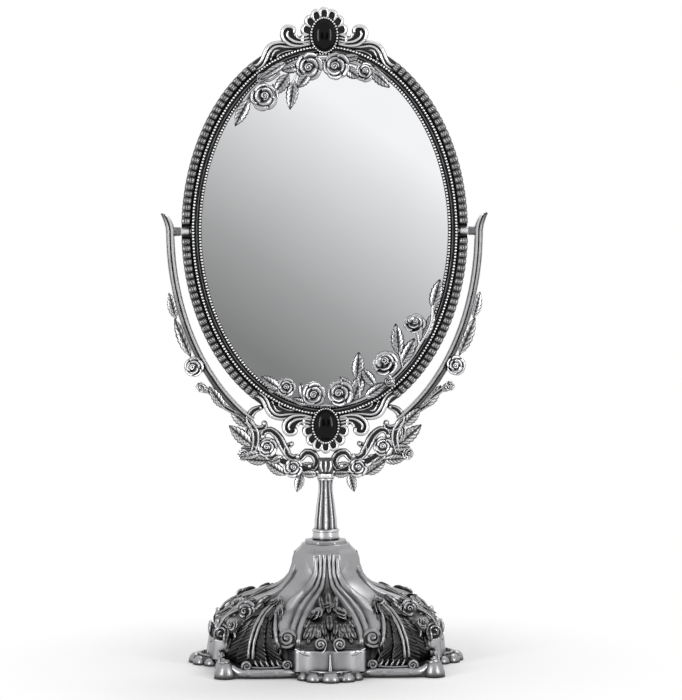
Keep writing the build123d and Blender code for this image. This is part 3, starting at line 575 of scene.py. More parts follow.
def modelFrame(name):
    spec = ovalFrame
    path = ovalLine(0, count=spec["steps"])
    rows = []
    for (x, z), (ox, oz) in path:
        # a notch on each side lets the pivot barrels show
        notched = abs(z) < spec["notchHalf"] and abs(x) > spec["crestHalf"]
        low = [min(depth, spec["notchFloor"]) if notched and inset < spec["notchInset"] else depth
               for inset, depth in spec["section"]]
        rows.append([(x - inset * ox, -depth, z - inset * oz + pivot)
                     for (inset, _), depth in zip(spec["section"], low)])
    ring = fromRows(name, rows, closeAlong=True, closeAcross=True, patina=spec["patina"])
    smooth(ring, 35)
    parts = [ring]
    for inset, pitch, radius, depth in spec["beadRows"]:
        places = [placed((x, -depth, z + pivot), (0, -1, 0), (ox, 0, oz), radius)
                  for (x, z), (ox, oz) in ovalLine(inset, pitch)]
        parts.append(stamped("beadRow", bead, places))
    block = gadroonPattern()
    for inset, depth, forward, size, rise, width in spec["gadroons"]:
        places = []
        for (x, z), (ox, oz) in ovalLine(inset, spec["gadroonPitch"]):
            if abs(x) < spec["crestHalf"] - 2 or abs(z) < spec["notchHalf"]:
                continue
            out, up = ((0, -1, 0), (ox, 0, oz)) if forward else ((ox, 0, oz), (0, -1, 0))
            places.append(placed((x, -depth, z + pivot), out, up, size, depth=rise, width=width))
        parts.append(stamped("gadroonBand", block, places))
    discard(block)
    return joined(name, parts)


crest = {
    "centre": 109.8,  # of the stone, above and below the tilt axis
    "stone": (6.4, 8.7, 4.4), "stoneSeat": 4.4, "stoneSkirt": 1.0,
    "bezel": (7.3, 9.7), "bezelMargin": 0.5, "bezelDepth": 5.2,
    "bezelBeads": 36, "bezelBeadRadius": 0.72, "bezelBeadDepth": 5.5,
    # scalloped shell: half size, lobes over its spread in degrees, and each lobe's arch as shares of both
    "shell": (12.6, 15.0), "shellLobes": 9, "shellSpread": (-10, 190), "shellGround": 0.95, "shellDepth": 3.1,
    "lobeArch": [(-0.5, 0.68), (-0.46, 0.86), (-0.26, 0.97), (0, 0.99), (0.26, 0.97), (0.46, 0.86),
                 (0.5, 0.68)],
    "lobeWidths": [1.3, 1.7, 2.2, 1.7, 1.3], "lobeDepth": 3.8,
    "plateDepth": 2.9,
    "plateEdge": [(0, 118), (9.0, 112.0), (13.0, 109.6), (16.4, 109.0), (17.2, 112.6), (19.4, 114.6),
                  (22.2, 114.4), (24.0, 111.8), (23.4, 107.6), (22.6, 105.4), (27.6, 105.2), (31.4, 103.4),
                  (34.0, 99.4), (35.6, 95.2), (37.8, 92.4), (40.8, 92.0), (39.4, 89.4), (30.0, 95.6),
                  (18.0, 101.0), (0, 103.6)],
    # strands: line, widths, depth of the line in front of the middle
    "ridges": [
        ([(8.0, 104.8), (14.5, 103.8), (20.5, 105.4), (23.6, 109.6), (22.6, 113.8), (19.4, 114.8),
          (16.9, 113.4), (17.0, 111.4)],
         [1.3, 1.9, 2.1, 2.1, 1.7], 4.2),
        ([(8.2, 106.6), (14.0, 105.9), (18.4, 107.2), (20.9, 110.2), (20.3, 112.2)], [1.1, 1.6, 1.7, 1.2], 4.2),
        ([(8.6, 108.4), (12.4, 107.8), (15.2, 108.8), (15.6, 110.4)], [1.1, 1.5, 1.2], 4.1),
        ([(9.0, 110.2), (11.4, 109.6), (12.8, 110.4)], [1.0, 1.3, 1.0], 4.0),
        ([(20.8, 105.6), (26.4, 105.9), (31.0, 104.0), (33.7, 99.7), (35.5, 95.6), (38.0, 93.2), (41.0, 92.9)],
         [1.5, 2.1, 2.3, 1.9, 1.3], 3.5),
        ([(13.0, 102.9), (21.0, 103.4), (27.6, 103.4), (30.9, 100.4), (32.6, 96.4), (34.6, 92.9), (37.4, 90.9)],
         [1.1, 1.6, 1.9, 1.8, 1.2], 3.4),
        ([(24.0, 101.4), (27.4, 101.2), (29.0, 98.8), (30.2, 95.8)], [1.1, 1.6, 1.4, 1.0], 3.3),
        ([(16.0, 101.4), (22.6, 100.6), (26.0, 98.6), (26.4, 97.0)], [0.9, 1.4, 1.2], 3.2),
        ([(36.2, 91.8), (38.6, 90.4), (40.8, 89.6)], [1.2, 1.0], 3.0),
    ],
}


def mirroredStrokes(strokes):
    return strokes + [([(-p[0], *p[1:]) for p in points], widths) for points, widths in strokes]


def flippedDown(points):
    return [(x, -z) for x, z in points]


def crestPlate(name, outline, depth):
    # black ground behind the ridges
    plate = castPlate(name, toFront(outline, 0), (0, -depth, 0), 0.5, 2, 50)
    paint(plate, [1.0] * len(plate.data.vertices))
    return plate


def ovalRing(halfWidth, halfHeight, count):
    # points round the stone's centre
    angles = np.arange(count) * 2 * math.pi / count
    return [(halfWidth * math.cos(a), crest["centre"] + halfHeight * math.sin(a)) for a in angles]


def modelCrest(name, down):
    spec = crest
    turn = flippedDown if down else list
    half = spec["plateEdge"]
    outline = half + [(-x, z) for x, z in reversed(half) if x > 0]
    shellWidth, shellHeight = spec["shell"]
    ground = ovalRing(shellWidth * spec["shellGround"], shellHeight * spec["shellGround"], 72)
    parts = [crestPlate("crestPlate", turn(outline), spec["plateDepth"]),
             crestPlate("crestShell", turn(ground), spec["shellDepth"])]
    strands = [(toFront(turn(points), depth), widths) for points, widths, depth in spec["ridges"]]
    low, high = (math.radians(a) for a in spec["shellSpread"])
    step = (high - low) / (spec["shellLobes"] - 1)
    arches = []
    for k in range(spec["shellLobes"]):
        arch = []
        for share, reach in spec["lobeArch"]:
            angle = low + (k + share) * step
            arch.append((shellWidth * reach * math.cos(angle),
                         spec["centre"] + shellHeight * reach * math.sin(angle)))
        arches.append((toFront(turn(arch), spec["lobeDepth"]), spec["lobeWidths"]))
    for piece in (ridges("crestRidges", mirroredStrokes(strands)), ridges("shellLobes", arches, resolution=3)):
        paintFlanks(piece)
        parts.append(piece)
    # beaded setting of the stone
    halfWidth, halfHeight = spec["bezel"]
    wall = ovalRing(halfWidth + spec["bezelMargin"], halfHeight + spec["bezelMargin"], 40)
    parts.append(crestPlate("settingWall", turn(wall), spec["bezelDepth"]))
    seats = toFront(turn(ovalRing(halfWidth, halfHeight, spec["bezelBeads"])), spec["bezelBeadDepth"])
    places = [placed(seat, (0, -1, 0), (0, 0, 1), spec["bezelBeadRadius"]) for seat in seats]
    parts.append(stamped("settingBeads", bead, places))
    return joined(name, parts)


def modelStone(name, z):
    # an oval cabochon with a short straight skirt
    halfWidth, halfHeight, rise = crest["stone"]
    deselect()
    bpy.ops.mesh.primitive_uv_sphere_add(segments=48, ring_count=24, radius=1)
    stone = bpy.context.object
    bpy.ops.object.mode_set(mode="EDIT")
    bpy.ops.mesh.select_all(action="SELECT")
    bpy.ops.mesh.bisect(plane_co=(0, 0, 0), plane_no=(0, 0, 1), clear_inner=True, use_fill=True)
    bpy.ops.mesh.select_all(action="DESELECT")
    bpy.ops.object.mode_set(mode="OBJECT")
    skirt = crest["stoneSkirt"]
    stone.data.transform(placed((0, -(crest["stoneSeat"] + skirt), z + pivot), (0, -1, 0), (0, 0, 1),
                                halfHeight, depth=rise - skirt, width=halfWidth))
    back = max(v.co.y for v in stone.data.vertices)
    pick(stone)
    for face in stone.data.polygons:
        face.select = abs(face.center.y - back) < 1e-6 and face.normal.y > 0.9
    bpy.ops.object.mode_set(mode="EDIT")
    bpy.ops.mesh.select_mode(type="FACE")
    bpy.ops.mesh.extrude_region_move(TRANSFORM_OT_translate={"value": (0, skirt * mm, 0)})
    bpy.ops.object.mode_set(mode="OBJECT")
    tidyNormals(stone)
    smooth(stone, 50)
    stone.name = stone.data.name = name
    return stone


def buildFrames():
    front = modelFrame("ovalFrameFront")
    crests = [modelCrest("crestUpper", False), modelCrest("crestLower", True)]
    whole = joined("ovalFrameFront", [front] + crests)
    rear = turnedRound(whole, "ovalFrameRear")
    finish(whole, framePewter, "mirror", "antique_pewter", "front_frame")
    finish(rear, framePewter, "mirror", "antique_pewter", "rear_frame")
    for word, z in (("upper", crest["centre"]), ("lower", -crest["centre"])):
        stone = modelStone(f"{word}CabochonFront", z)
        back = turnedRound(stone, f"{word}CabochonRear")
        finish(stone, onyx, "mirror", "black_stone", f"front_{word}_cabochon")
        finish(back, onyx, "mirror", "black_stone", f"rear_{word}_cabochon")
    print("frames, crests and cabochons modelled")


# leaves: base, tip, width; roses: centre, radius, facing (x, z) lean; stems: points and width
sprays = {
    "upper": {
        "leaves": [((-42.9, 73.8), (-50.1, 59.9), 7.0), ((-17.3, 84.0), (-19.2, 69.1), 7.0),
                   ((-8.6, 89.0), (-14.8, 81.0), 6.6), ((-20.5, 87.6), (-27.8, 77.0), 7.4),
                   ((-22.0, 94.5), (-35.8, 85.6), 4.8), ((11.8, 91.6), (18.8, 86.0), 6.2),
                   ((26.4, 90.0), (36.2, 81.0), 6.4), ((9.4, 96.4), (19.0, 97.6), 4.6),
                   ((-14.0, 92.5), (-23.4, 90.2), 5.6), ((-38.0, 79.0), (-45.8, 71.2), 5.2),
                   ((-29.0, 82.0), (-27.0, 74.0), 4.6)],
        "roses": [((-8.6, 92.4), 7.7, (0.1, -0.1)), ((6.8, 92.6), 7.4, (-0.1, -0.1)),
                  ((22.8, 89.0), 5.4, (0.1, 0.1)), ((-34.1, 75.2), 7.6, (0.1, -0.1)),
                  ((-35.0, 85.6), 2.9, (0.0, 0.2))],
        "stems": [([(-48.4, 69.0), (-40.0, 79.6), (-28.0, 89.0), (-15.0, 94.6), (0.0, 96.6)], 1.7),
                  ([(0.0, 96.6), (15.0, 94.6), (30.0, 88.0)], 1.6),
                  ([(-18.0, 82.0), (-16.0, 88.0), (-14.0, 94.0)], 1.2),
                  ([(-36.8, 86.8), (-32.0, 84.4), (-25.0, 88.6)], 1.2),
                  ([(28.0, 92.0), (33.0, 87.6), (36.8, 84.0)], 1.1)],
    },
    "lower": {
        "leaves": [((-26.2, -88.6), (-35.8, -82.2), 6.8), ((-11.4, -95.2), (-13.9, -86.2), 5.6),
                   ((-10.9, -97.4), (-18.4, -94.6), 4.4), ((14.6, -88.8), (8.4, -82.6), 5.2),
                   ((15.6, -94.6), (21.2, -80.0), 7.8), ((17.7, -83.0), (18.9, -69.1), 7.2),
                   ((27.5, -87.0), (20.9, -78.2), 6.6), ((22.6, -94.0), (33.4, -86.2), 6.2),
                   ((41.4, -69.0), (40.0, -53.2), 7.6), ((43.3, -74.3), (50.1, -61.4), 6.8),
                   ((55.8, -60.8), (61.6, -46.2), 5.4), ((60.6, -42.8), (64.6, -28.2), 6.8),
                   ((-29.0, -90.4), (-32.0, -88.0), 4.0)],
        "roses": [((-6.6, -91.9), 6.7, (0.1, 0.1)), ((8.4, -91.6), 7.3, (-0.1, 0.1)),
                  ((-22.0, -88.2), 5.2, (0.0, 0.1)), ((34.2, -75.0), 7.4, (-0.35, 0.45)),
                  ((50.6, -52.6), 6.0, (-0.2, 0.6)), ((36.2, -85.0), 2.9, (0.2, 0.2))],
        "stems": [([(60.6, -42.0), (59.6, -52.0), (54.0, -63.0), (45.0, -76.0), (32.0, -88.6)], 1.6),
                  ([(32.0, -88.6), (16.0, -96.6), (0.0, -98.2), (-15.0, -96.4), (-28.0, -90.4)], 1.6),
                  ([(51.6, -57.0), (52.4, -60.6), (53.0, -64.0)], 1.6),
                  ([(34.6, -80.0), (36.6, -82.6), (38.0, -85.6)], 1.6),
                  ([(28.0, -88.0), (32.4, -86.8), (35.6, -85.4)], 1.2),
                  ([(41.6, -68.4), (42.4, -72.0), (43.4, -77.0)], 1.2),
                  ([(18.2, -82.4), (19.0, -88.0), (19.4, -94.0)], 1.2),
                  ([(27.5, -86.6), (28.2, -88.6), (29.0, -91.0)], 1.2)],
    },
}
sprayWork = {
    "leafDepth": 7.3, "roseDepth": 6.7, "stemDepth": 6.9,  # in front of the middle of the mirror
    "leafLean": 0.12, "leafRise": 0.9, "roseRise": 0.62, "roseTurn": 0.7,
}


def modelSpray(name, spec):
    leaves, roses = [], []
    for k, (base, tip, width) in enumerate(spec["leaves"]):
        along = (tip[0] - base[0], 0, tip[1] - base[1])
        lean = sprayWork["leafLean"] * (-1) ** k
        leaves.append(placed((base[0], -sprayWork["leafDepth"], base[1] + pivot), (lean, -1, 0.05), along,
                             math.hypot(*along), depth=sprayWork["leafRise"] * width, width=width))
    for k, ((x, z), radius, lean) in enumerate(spec["roses"]):
        turn = sprayWork["roseTurn"] * k
        roses.append(placed((x, -sprayWork["roseDepth"], z + pivot), (lean[0], -1, lean[1]),
                            (math.sin(turn), 0, math.cos(turn)), radius, depth=sprayWork["roseRise"] * radius))
    twigs = ridges("sprayStems", [(toFront(points, sprayWork["stemDepth"]), [width])
                                  for points, width in spec["stems"]])
    paintFlanks(twigs)
    return joined(name, [stamped("sprayLeaves", leaf, leaves), stamped("sprayRoses", rose, roses), twigs])


def buildSprays():
    for word in ("upper", "lower"):
        piece = modelSpray(f"{word}RoseSprayFront", sprays[word])
        back = turnedRound(piece, f"{word}RoseSprayRear")
        finish(piece, brightPewter, "mirror", "burnished_pewter", f"front_{word}_rose_spray")
        finish(back, brightPewter, "mirror", "burnished_pewter", f"rear_{word}_rose_spray")
    print("rose sprays modelled")


yoke = {
    # half width and half height of the arms' inner edge, and how far down they reach
    "inner": (84.7, 119.5), "depth": 5.6, "end": 105.4,
    # the tip: how far out and up it flares, how much its end rises, and how much wider it gets
    "flare": (2.5, 7.8), "tipRise": 0.42, "tipWidth": 1.2,
    # the tip's last row: shares of the width and depth, how far it is moved out and up
    "tipRound": (0.8, 0.4), "tipShift": (0.6, 0.7),
    # across the arm from its inner edge, in mm and as a share of half the depth:
    # round bright bead, groove, sloping dark band with a thin edge; then the black on each point
    "section": [(0.0, 0.0), (0.1, 0.55), (0.7, 0.95), (1.5, 1.0), (2.2, 0.75), (2.5, 0.42), (2.9, 0.5),
                (4.2, 0.36), (4.5, 0.52), (4.95, 0.4), (5.0, 0.0)],
    "patina": [0.3, 0.05, 0.0, 0.0, 0.4, 1.0, 0.6, 0.5, 0.3, 0.0, 0.2],
    # scrolls are two bright strands with a black channel between them
    "bandWidth": 1.6, "strandOffset": 0.34, "strandWidth": 0.5, "channelWidth": 0.8,
    "strandDepth": 2.2, "coreDepth": 1.0, "coreWidth": 3.4,
    "leafDepth": 1.0, "leafLean": 0.1, "leafRise": 0.8, "roseDepth": 0.8, "roseRise": 0.6, "roundEndRise": 2.9,
    "hub": {"height": 132.8, "half": (4.3, 4.3, 4.4), "edge": 1.1, "flutes": (-2.6, 0.0, 2.6),
            # along one flute: share of its place, how far out, drop below the axis
            "fluteLine": [(1.0, 4.2, 130.0), (1.1, 4.4, 133.0), (0.7, 4.2, 136.0)],
            "fluteWidths": [0.8, 1.5, 1.0]},
    # ribbed ring: radius, drop below the axis, and whether the ribs swell it
    "ring": [(4.2, 137.2, 0), (4.9, 137.3, 0), (5.0, 137.9, 1), (5.0, 139.4, 1), (4.6, 139.9, 0),
             (4.9, 140.2, 0), (4.9, 140.7, 0), (3.4, 140.8, 0)],
    "ringRibs": 12, "ribSwell": 0.18,
    # base, tip and width of each leaf; centre, radius and lean of each rose
    "leaves": [((84.4, -48.6), (87.9, -35.2), 5.8), ((76.6, -69.4), (84.8, -50.2), 6.8),
               ((57.0, -99.6), (65.4, -88.2), 6.4), ((44.0, -110.2), (53.6, -100.8), 7.0),
               ((41.8, -121.0), (54.0, -110.4), 7.8), ((33.4, -129.8), (44.8, -129.0), 6.2),
               ((23.4, -137.6), (33.8, -130.6), 6.4), ((13.8, -137.6), (16.2, -147.2), 5.6),
               ((4.8, -137.6), (13.6, -137.4), 4.8), ((5.0, -134.0), (13.4, -131.6), 4.2),
               ((24.4, -127.6), (30.6, -130.6), 4.6), ((26.6, -132.0), (33.0, -127.4), 4.2),
               ((37.6, -125.6), (48.4, -127.6), 5.4), ((38.6, -123.0), (47.6, -122.6), 4.4),
               ((66.8, -91.0), (71.4, -85.8), 4.4)],
    "roses": [((74.0, -76.4), 5.6, (0.25, 0.15)), ((32.8, -122.3), 5.6, (0.0, 0.1)),
              ((18.4, -134.2), 5.4, (0.0, 0.1)), ((46.6, -126.4), 3.4, (0.4, -0.1)),
              ((70.6, -88.0), 2.8, (0.3, 0.1))],
    "scrolls": [
        ([(36.4, -99.6), (40.6, -101.4), (43.2, -105.6), (42.0, -109.8), (38.2, -111.8), (34.6, -111.0),
          (34.6, -108.4)],
         [1.6, 2.4, 2.6, 2.2, 1.8]),
        ([(35.6, -116.4), (34.6, -113.4), (31.2, -112.6), (27.0, -116.0), (24.2, -121.4), (21.6, -126.0)],
         [1.8, 2.4, 3.0, 2.6]),
        ([(19.0, -120.4), (21.8, -122.2), (22.0, -126.0), (18.6, -128.4), (15.6, -127.6)],
         [1.6, 2.2, 2.4, 1.9]),
        ([(14.6, -129.6), (11.0, -125.4), (6.8, -126.6), (5.0, -130.6), (6.8, -134.2), (9.0, -133.0)],
         [1.8, 2.6, 2.6, 2.2, 1.6]),
        ([(44.2, -107.2), (40.2, -112.6), (39.4, -119.0), (41.2, -125.6)], [2.0, 2.8, 2.6, 1.8]),
        ([(41.6, -108.4), (44.4, -112.8), (43.6, -119.0)], [1.2, 1.6, 1.2]),
        ([(45.6, -106.8), (43.0, -107.4), (40.8, -110.4)], [2.6, 2.4, 2.0]),
        ([(42.4, -117.0), (38.6, -122.0), (35.0, -125.0)], [1.6, 1.9, 1.6]),
        ([(57.0, -97.6), (62.0, -93.2), (69.4, -87.8)], [1.2, 1.6, 1.6]),
        ([(48.4, -103.6), (53.0, -101.6), (58.0, -98.6)], [1.6]),
    ],
    "roundEnds": [(36.4, -99.6, 1.5), (34.6, -108.6, 1.7), (35.6, -116.2, 1.7), (19.2, -120.4, 1.5),
                  (15.8, -127.6, 1.6), (9.0, -133.0, 1.6)],
    "cores": [[(44.6, -106.6), (41.0, -112.0), (40.0, -119.0), (36.0, -124.0), (28.0, -128.0), (19.0, -132.6),
               (10.0, -134.6), (3.0, -134.0)]],
}


def armPath():
    # inner edge of the arm from its flared tip down to the first scroll, with its outward direction
    a, b = yoke["inner"]
    points = []
    flareOut, flareUp = yoke["flare"]
    for t in np.linspace(1, 0, 9)[:-1]:
        out = Vector((1, yoke["tipRise"] * t)).normalized()
        points.append(((a + flareOut * t ** 2, flareUp * t), (out.x, out.y)))
    stop = math.asin(yoke["end"] / b)
    for t in np.linspace(0, stop, 60):
        x, z = a * math.cos(t), -b * math.sin(t)
        out = Vector((b * math.cos(t), -a * math.sin(t))).normalized()
        points.append(((x, z), (out.x, out.y)))
    return points


def modelArms():
    half = yoke["depth"] / 2
    section = yoke["section"]
    loop = section + [(u, -h) for u, h in reversed(section[1:-1])]
    stain = yoke["patina"] + yoke["patina"][-2:0:-1]
    arms = []
    path = armPath()
    for side in (-1, 1):
        def row(place, points, widen, raised=0.0):
            (x, z), (ox, oz) = place
            return [(side * (x + u * widen * ox), -h * half, z + u * widen * oz + pivot + raised)
                    for u, h in points]
        (narrow, thin), (outward, raised) = yoke["tipRound"], yoke["tipShift"]
        closing = [(u * narrow + outward, h * thin) for u, h in loop]
        rows = [row(path[0], closing, yoke["tipWidth"], raised)]
        for place in path:
            height = min(1, max(0, place[0][1] / yoke["flare"][1]))
            rows.append(row(place, loop, 1 + (yoke["tipWidth"] - 1) * height))
        arm = fromRows("yokeArm", rows, closeAcross=True, caps=True, patina=stain)
        smooth(arm, 32)
        arms.append(arm)
    return arms


def modelScrolls():
    strands, cores = [], []
    for points, widths in yoke["scrolls"]:
        line = smoothLine(points)
        wide = np.interp(np.linspace(0, 1, len(line)), np.linspace(0, 1, len(widths)), widths)
        wide *= yoke["bandWidth"]
        cores.append((toFront(line, 0), list(yoke["channelWidth"] * wide)))
        for side in (-1, 1):
            strand = beside(line, side * yoke["strandOffset"] * wide)
            strands.append((toFront(strand, 0), list(yoke["strandWidth"] * wide)))
    cores += [(toFront(points, 0), [yoke["coreWidth"]]) for points in yoke["cores"]]
    bright = ridges("yokeStrands", mirroredStrokes(strands), resolution=1)
    dark = ridges("yokeCores", mirroredStrokes(cores), resolution=2)
    for piece, deep in ((bright, yoke["strandDepth"]), (dark, yoke["coreDepth"])):
        for vertex in piece.data.vertices:
            vertex.co.y *= deep
    paintFlanks(bright)
    paint(dark, [1.0] * len(dark.data.vertices))
    return [bright, dark]


def modelYokeFlowers():
    places, blossoms, knobs = [], [], []
    for facing in (-1, 1):
        for mirror in (-1, 1):
            for k, (base, tip, width) in enumerate(yoke["leaves"]):
                along = ((tip[0] - base[0]) * mirror, 0, tip[1] - base[1])
                lean = yoke["leafLean"] * (-1) ** k
                places.append(placed((base[0] * mirror, facing * yoke["leafDepth"], base[1] + pivot),
                                     (lean, facing, 0.05), along, math.hypot(*along),
                                     depth=yoke["leafRise"] * width, width=width))
            for x, z, radius in yoke["roundEnds"]:
                knobs.append(placed((x * mirror, 0, z + pivot), (0, facing, 0), (0, 0, 1), radius,
                                    depth=yoke["roundEndRise"]))
            for k, ((x, z), radius, lean) in enumerate(yoke["roses"]):
                blossoms.append(placed((x * mirror, facing * yoke["roseDepth"], z + pivot),
                                       (lean[0] * mirror, facing, lean[1]), (math.sin(k), 0, math.cos(k)),
                                       radius, depth=yoke["roseRise"] * radius))
    return [stamped("yokeLeaves", leaf, places), stamped("yokeRoses", rose, blossoms),
            stamped("scrollEnds", bead, knobs)]


def modelHub():
    # square hub with flutes, over a ribbed ring
    spec = yoke["hub"]
    deselect()
    bpy.ops.mesh.primitive_cube_add(size=2, location=(0, 0, (pivot - spec["height"]) * mm))
    hub = bpy.context.object
    hub.scale = [c * mm for c in spec["half"]]
    bpy.ops.object.transform_apply(location=True, rotation=True, scale=True)
    edge = hub.modifiers.new("edge", "BEVEL")
    edge.width = spec["edge"] * mm
    edge.segments = 3
    applyModifiers(hub)
    smooth(hub, 40)
    paint(hub, [0.6] * len(hub.data.vertices))
    lines = [([(x * share, facing * out, pivot - drop) for share, out, drop in spec["fluteLine"]],
              spec["fluteWidths"]) for facing in (-1, 1) for x in spec["flutes"]]
    flutes = ridges("hubFlutes", lines)
    paintFlanks(flutes)
    rows = []
    for turn in np.linspace(0, 2 * math.pi, 4 * yoke["ringRibs"] + 1)[:-1]:
        swell = yoke["ribSwell"] * math.cos(yoke["ringRibs"] * turn)
        section = [(r + swell * ribbed, pivot - drop) for r, drop, ribbed in yoke["ring"]]
        rows.append([(r * math.cos(turn), r * math.sin(turn), z) for r, z in section])
    ring = fromRows("ribbedRing", rows, closeAlong=True)
    smooth(ring, 40)
    return [hub, flutes, ring]


def modelYoke():
    whole = joined("scrolledYoke", modelArms() + modelScrolls() + modelYokeFlowers() + modelHub())
    finish(whole, framePewter, "stand", "antique_pewter", "yoke")
    print("yoke modelled")


def turnedSkin(name, profile, count):
    # a profile of (radius, height) turned round the upright axis
    rows = [[(r * math.cos(turn), r * math.sin(turn), z) for r, z in profile]
            for turn in np.linspace(0, 2 * math.pi, count + 1)[:-1]]
    return fromRows(name, rows, closeAlong=True)


stem = {
    "flutes": 10, "fluteCut": 0.15, "fluteShape": 0.7, "pointsPerFlute": 12,
    # radius at each height; then the collar's section
    "stations": [(75.6, 6.7), (80.6, 6.5), (89.0, 5.4), (97.0, 4.2), (100.4, 4.1), (102.4, 4.4), (103.4, 4.5)],
    "collar": [(3.2, 69.5), (7.0, 69.5), (7.7, 70.1), (7.8, 70.8), (7.4, 71.2), (7.4, 73.9), (7.8, 74.3),
               (7.8, 75.0), (7.1, 75.6), (3.2, 75.6)],
}


def modelStem():
    count = stem["flutes"] * stem["pointsPerFlute"]
    turns = np.arange(count) * 2 * math.pi / count
    valleys = 0.5 + 0.5 * np.cos(stem["flutes"] * turns)
    rows = []
    for z, radius in stem["stations"]:
        reach = radius * (1 - stem["fluteCut"] * valleys ** stem["fluteShape"])
        rows.append(np.c_[reach * np.cos(turns), reach * np.sin(turns), np.full(count, z)])
    column = fromRows("flutedStem", rows, closeAcross=True, caps=True, patina=0.9 * valleys ** 2)
    smooth(column, 50)
    finish(column, brightPewter, "stand", "antique_pewter", "stem")
    collar = turnedSkin("turnedCollar", stem["collar"], 64)
    smooth(collar, 35)
    finish(collar, brightPewter, "stand", "antique_pewter", "stem_collar")
    print("stem and collar modelled")


# profiles are (distance from the axis, height), edges are (half width, height)
base = {
    "rim": 0.3,
    "bow": 1.8,  # how far a lobe's edge falls back behind its middle
    "core": [(56.0, 0.3), (56.0, 4.4), (53.0, 8.0), (53.0, 16.0), (49.5, 24.4), (43.5, 31.0), (33.5, 36.4),
             (24.5, 41.4), (19.5, 49.0), (17.0, 54.0)],
    "side": [(17.8, 62.6), (18.4, 56.0), (20.6, 49.6), (23.6, 45.6), (27.5, 42.2), (34.0, 39.6), (41.0, 37.4),
             (47.0, 35.4), (51.5, 33.0), (55.6, 29.8), (58.9, 25.9), (62.6, 21.6), (64.4, 18.4), (65.4, 14.0),
             (65.9, 9.3), (66.0, 4.4)],
    "sideRound": 48.0,
    "bandEdge": [(7.6, 62.6), (7.7, 57.0), (8.0, 52.5), (10.0, 48.5), (12.6, 45.2), (17.0, 42.0), (21.4, 39.4),
                 (25.0, 36.2), (27.6, 32.6), (29.2, 28.6), (29.6, 24.6), (28.8, 20.6), (26.6, 17.0),
                 (24.8, 13.0), (23.8, 9.0), (23.4, 4.4)],
    "panelEdge": [(0.2, 62.6), (0.2, 57.0), (0.4, 52.5), (0.9, 48.5), (1.6, 45.2), (4.0, 41.4), (7.0, 38.0),
                  (9.8, 34.8), (12.2, 31.4), (14.0, 27.8), (15.2, 24.2), (15.8, 20.8), (16.4, 17.6),
                  (16.4, 4.4)],
    # outer ribbon: its share of the lobe's half, and the heights where it has them
    # then the relief of the ribbon and strands, and how far the panel is sunk
    "bandShare": (0.54, 0.36), "bandHeights": (20, 62), "bandRise": 1.5, "strandRise": 1.0, "panelSink": 0.9,
    "bandGrowth": ((20, 34), (0.55, 1)),  # the ribbon's relief is lower near the apron: heights and shares
    # heights of the skin's rows, closer round the apron's top edge; points across the ribbons and the panel
    "sideRows": [*np.arange(62.6, 20.0, -1.0), *np.arange(20.0, 13.0, -0.6), 11.0, 8.0, 4.4],
    "ribbonSteps": 29, "panelSteps": 8, "topFade": 5.0,
    # apron: top edge, half width, relief, its side edge and how wide that falls, where the ribbons fade into it,
    # how much the wall beside it turns back, and the swell of the bar in its middle
    "apron": {"top": 16.6, "half": 18.6, "rise": 1.5, "edge": (22.0, 4.0), "fade": (17.5, 3.0), "turnBack": 0.7,
              "barSwell": 1.9, "barSink": 0.3},
    "wallStop": -6.0, "wallDepth": 16.0,  # the lobes' skins run back into the core
    "corner": [(17.7, 61.0), (18.3, 56.0), (19.4, 52.0), (21.6, 48.8), (25.4, 45.6), (30.5, 42.6), (38.9, 37.8),
               (47.9, 33.6), (52.4, 29.4), (55.4, 25.4), (58.8, 18.2), (60.2, 11.0), (60.4, 4.4)],
    "cornerEdge": [(7.3, 61.0), (7.6, 53.0), (8.4, 46.0), (9.4, 42.0), (11.0, 38.0), (15.0, 34.0), (20.4, 27.0),
                   (24.6, 19.0), (26.8, 11.0), (27.0, 4.4)],
    "cornerRound": 40.0, "cornerRows": np.arange(61.0, 4.3, -1.5), "cornerSteps": 25,
    "cornerPatina": ((34, 41), (0.8, 0.06)),  # heights, and the black left at each
    "neck": [(18.2, 47.0), (18.2, 52.0), (17.9, 57.0), (17.6, 62.2), (17.0, 62.9), (15.6, 64.2), (14.2, 65.6),
             (13.4, 67.2), (11.7, 67.6), (11.7, 68.9), (11.0, 69.5), (6.0, 69.5)],
}


def atHeight(line, z):
    return float(np.interp(z, [p[1] for p in reversed(line)], [p[0] for p in reversed(line)]))


def lobeSurface(profile, edges, rounding, x, z, lift=0.0):
    # a point on a lobe, x from its middle, at height z, with the outward direction there
    reach, half = atHeight(profile, z), atHeight(edges, z)
    limit = profile[-1][0] - rounding + math.sqrt(max(1.0, rounding ** 2 - x ** 2))
    y = min(reach - base["bow"] * (x / max(half, 1)) ** 2, limit)
    slope = (atHeight(profile, z + 0.8) - atHeight(profile, z - 0.8)) / 1.6
    normal = Vector((0.9 * x / rounding, -1.0, -slope)).normalized()
    return Vector((x, -y, z)) + normal * lift, normal


def sideAt(x, z, lift=0.0):
    return lobeSurface(base["side"], base["bandEdge"], base["sideRound"], x, z, lift)


def cornerAt(x, z, lift=0.0):
    return lobeSurface(base["corner"], base["cornerEdge"], base["cornerRound"], x, z, lift)


def wallBehind(x, y, z):
    # where a lobe's skin ends, inside the core
    return x, min(base["wallStop"], y + base["wallDepth"]), z


def ribbonRelief(share, z):
    # height and patina across a lobe at a height, from 0 at the panel's edge to 1 at the lobe's edge
    band = 1 - float(np.interp(z, base["bandHeights"], base["bandShare"]))
    if share > band:
        swell = math.sin(math.pi * min(1, (share - band) / (1 - band) * 0.93 + 0.03)) ** 0.55
        return base["bandRise"] * swell * float(np.interp(z, *base["bandGrowth"])), 0.9 * (1 - swell) ** 1.2
    swell = abs(math.sin(2 * math.pi * share / band)) ** 0.7
    return base["strandRise"] * swell, 0.95 * (1 - swell)


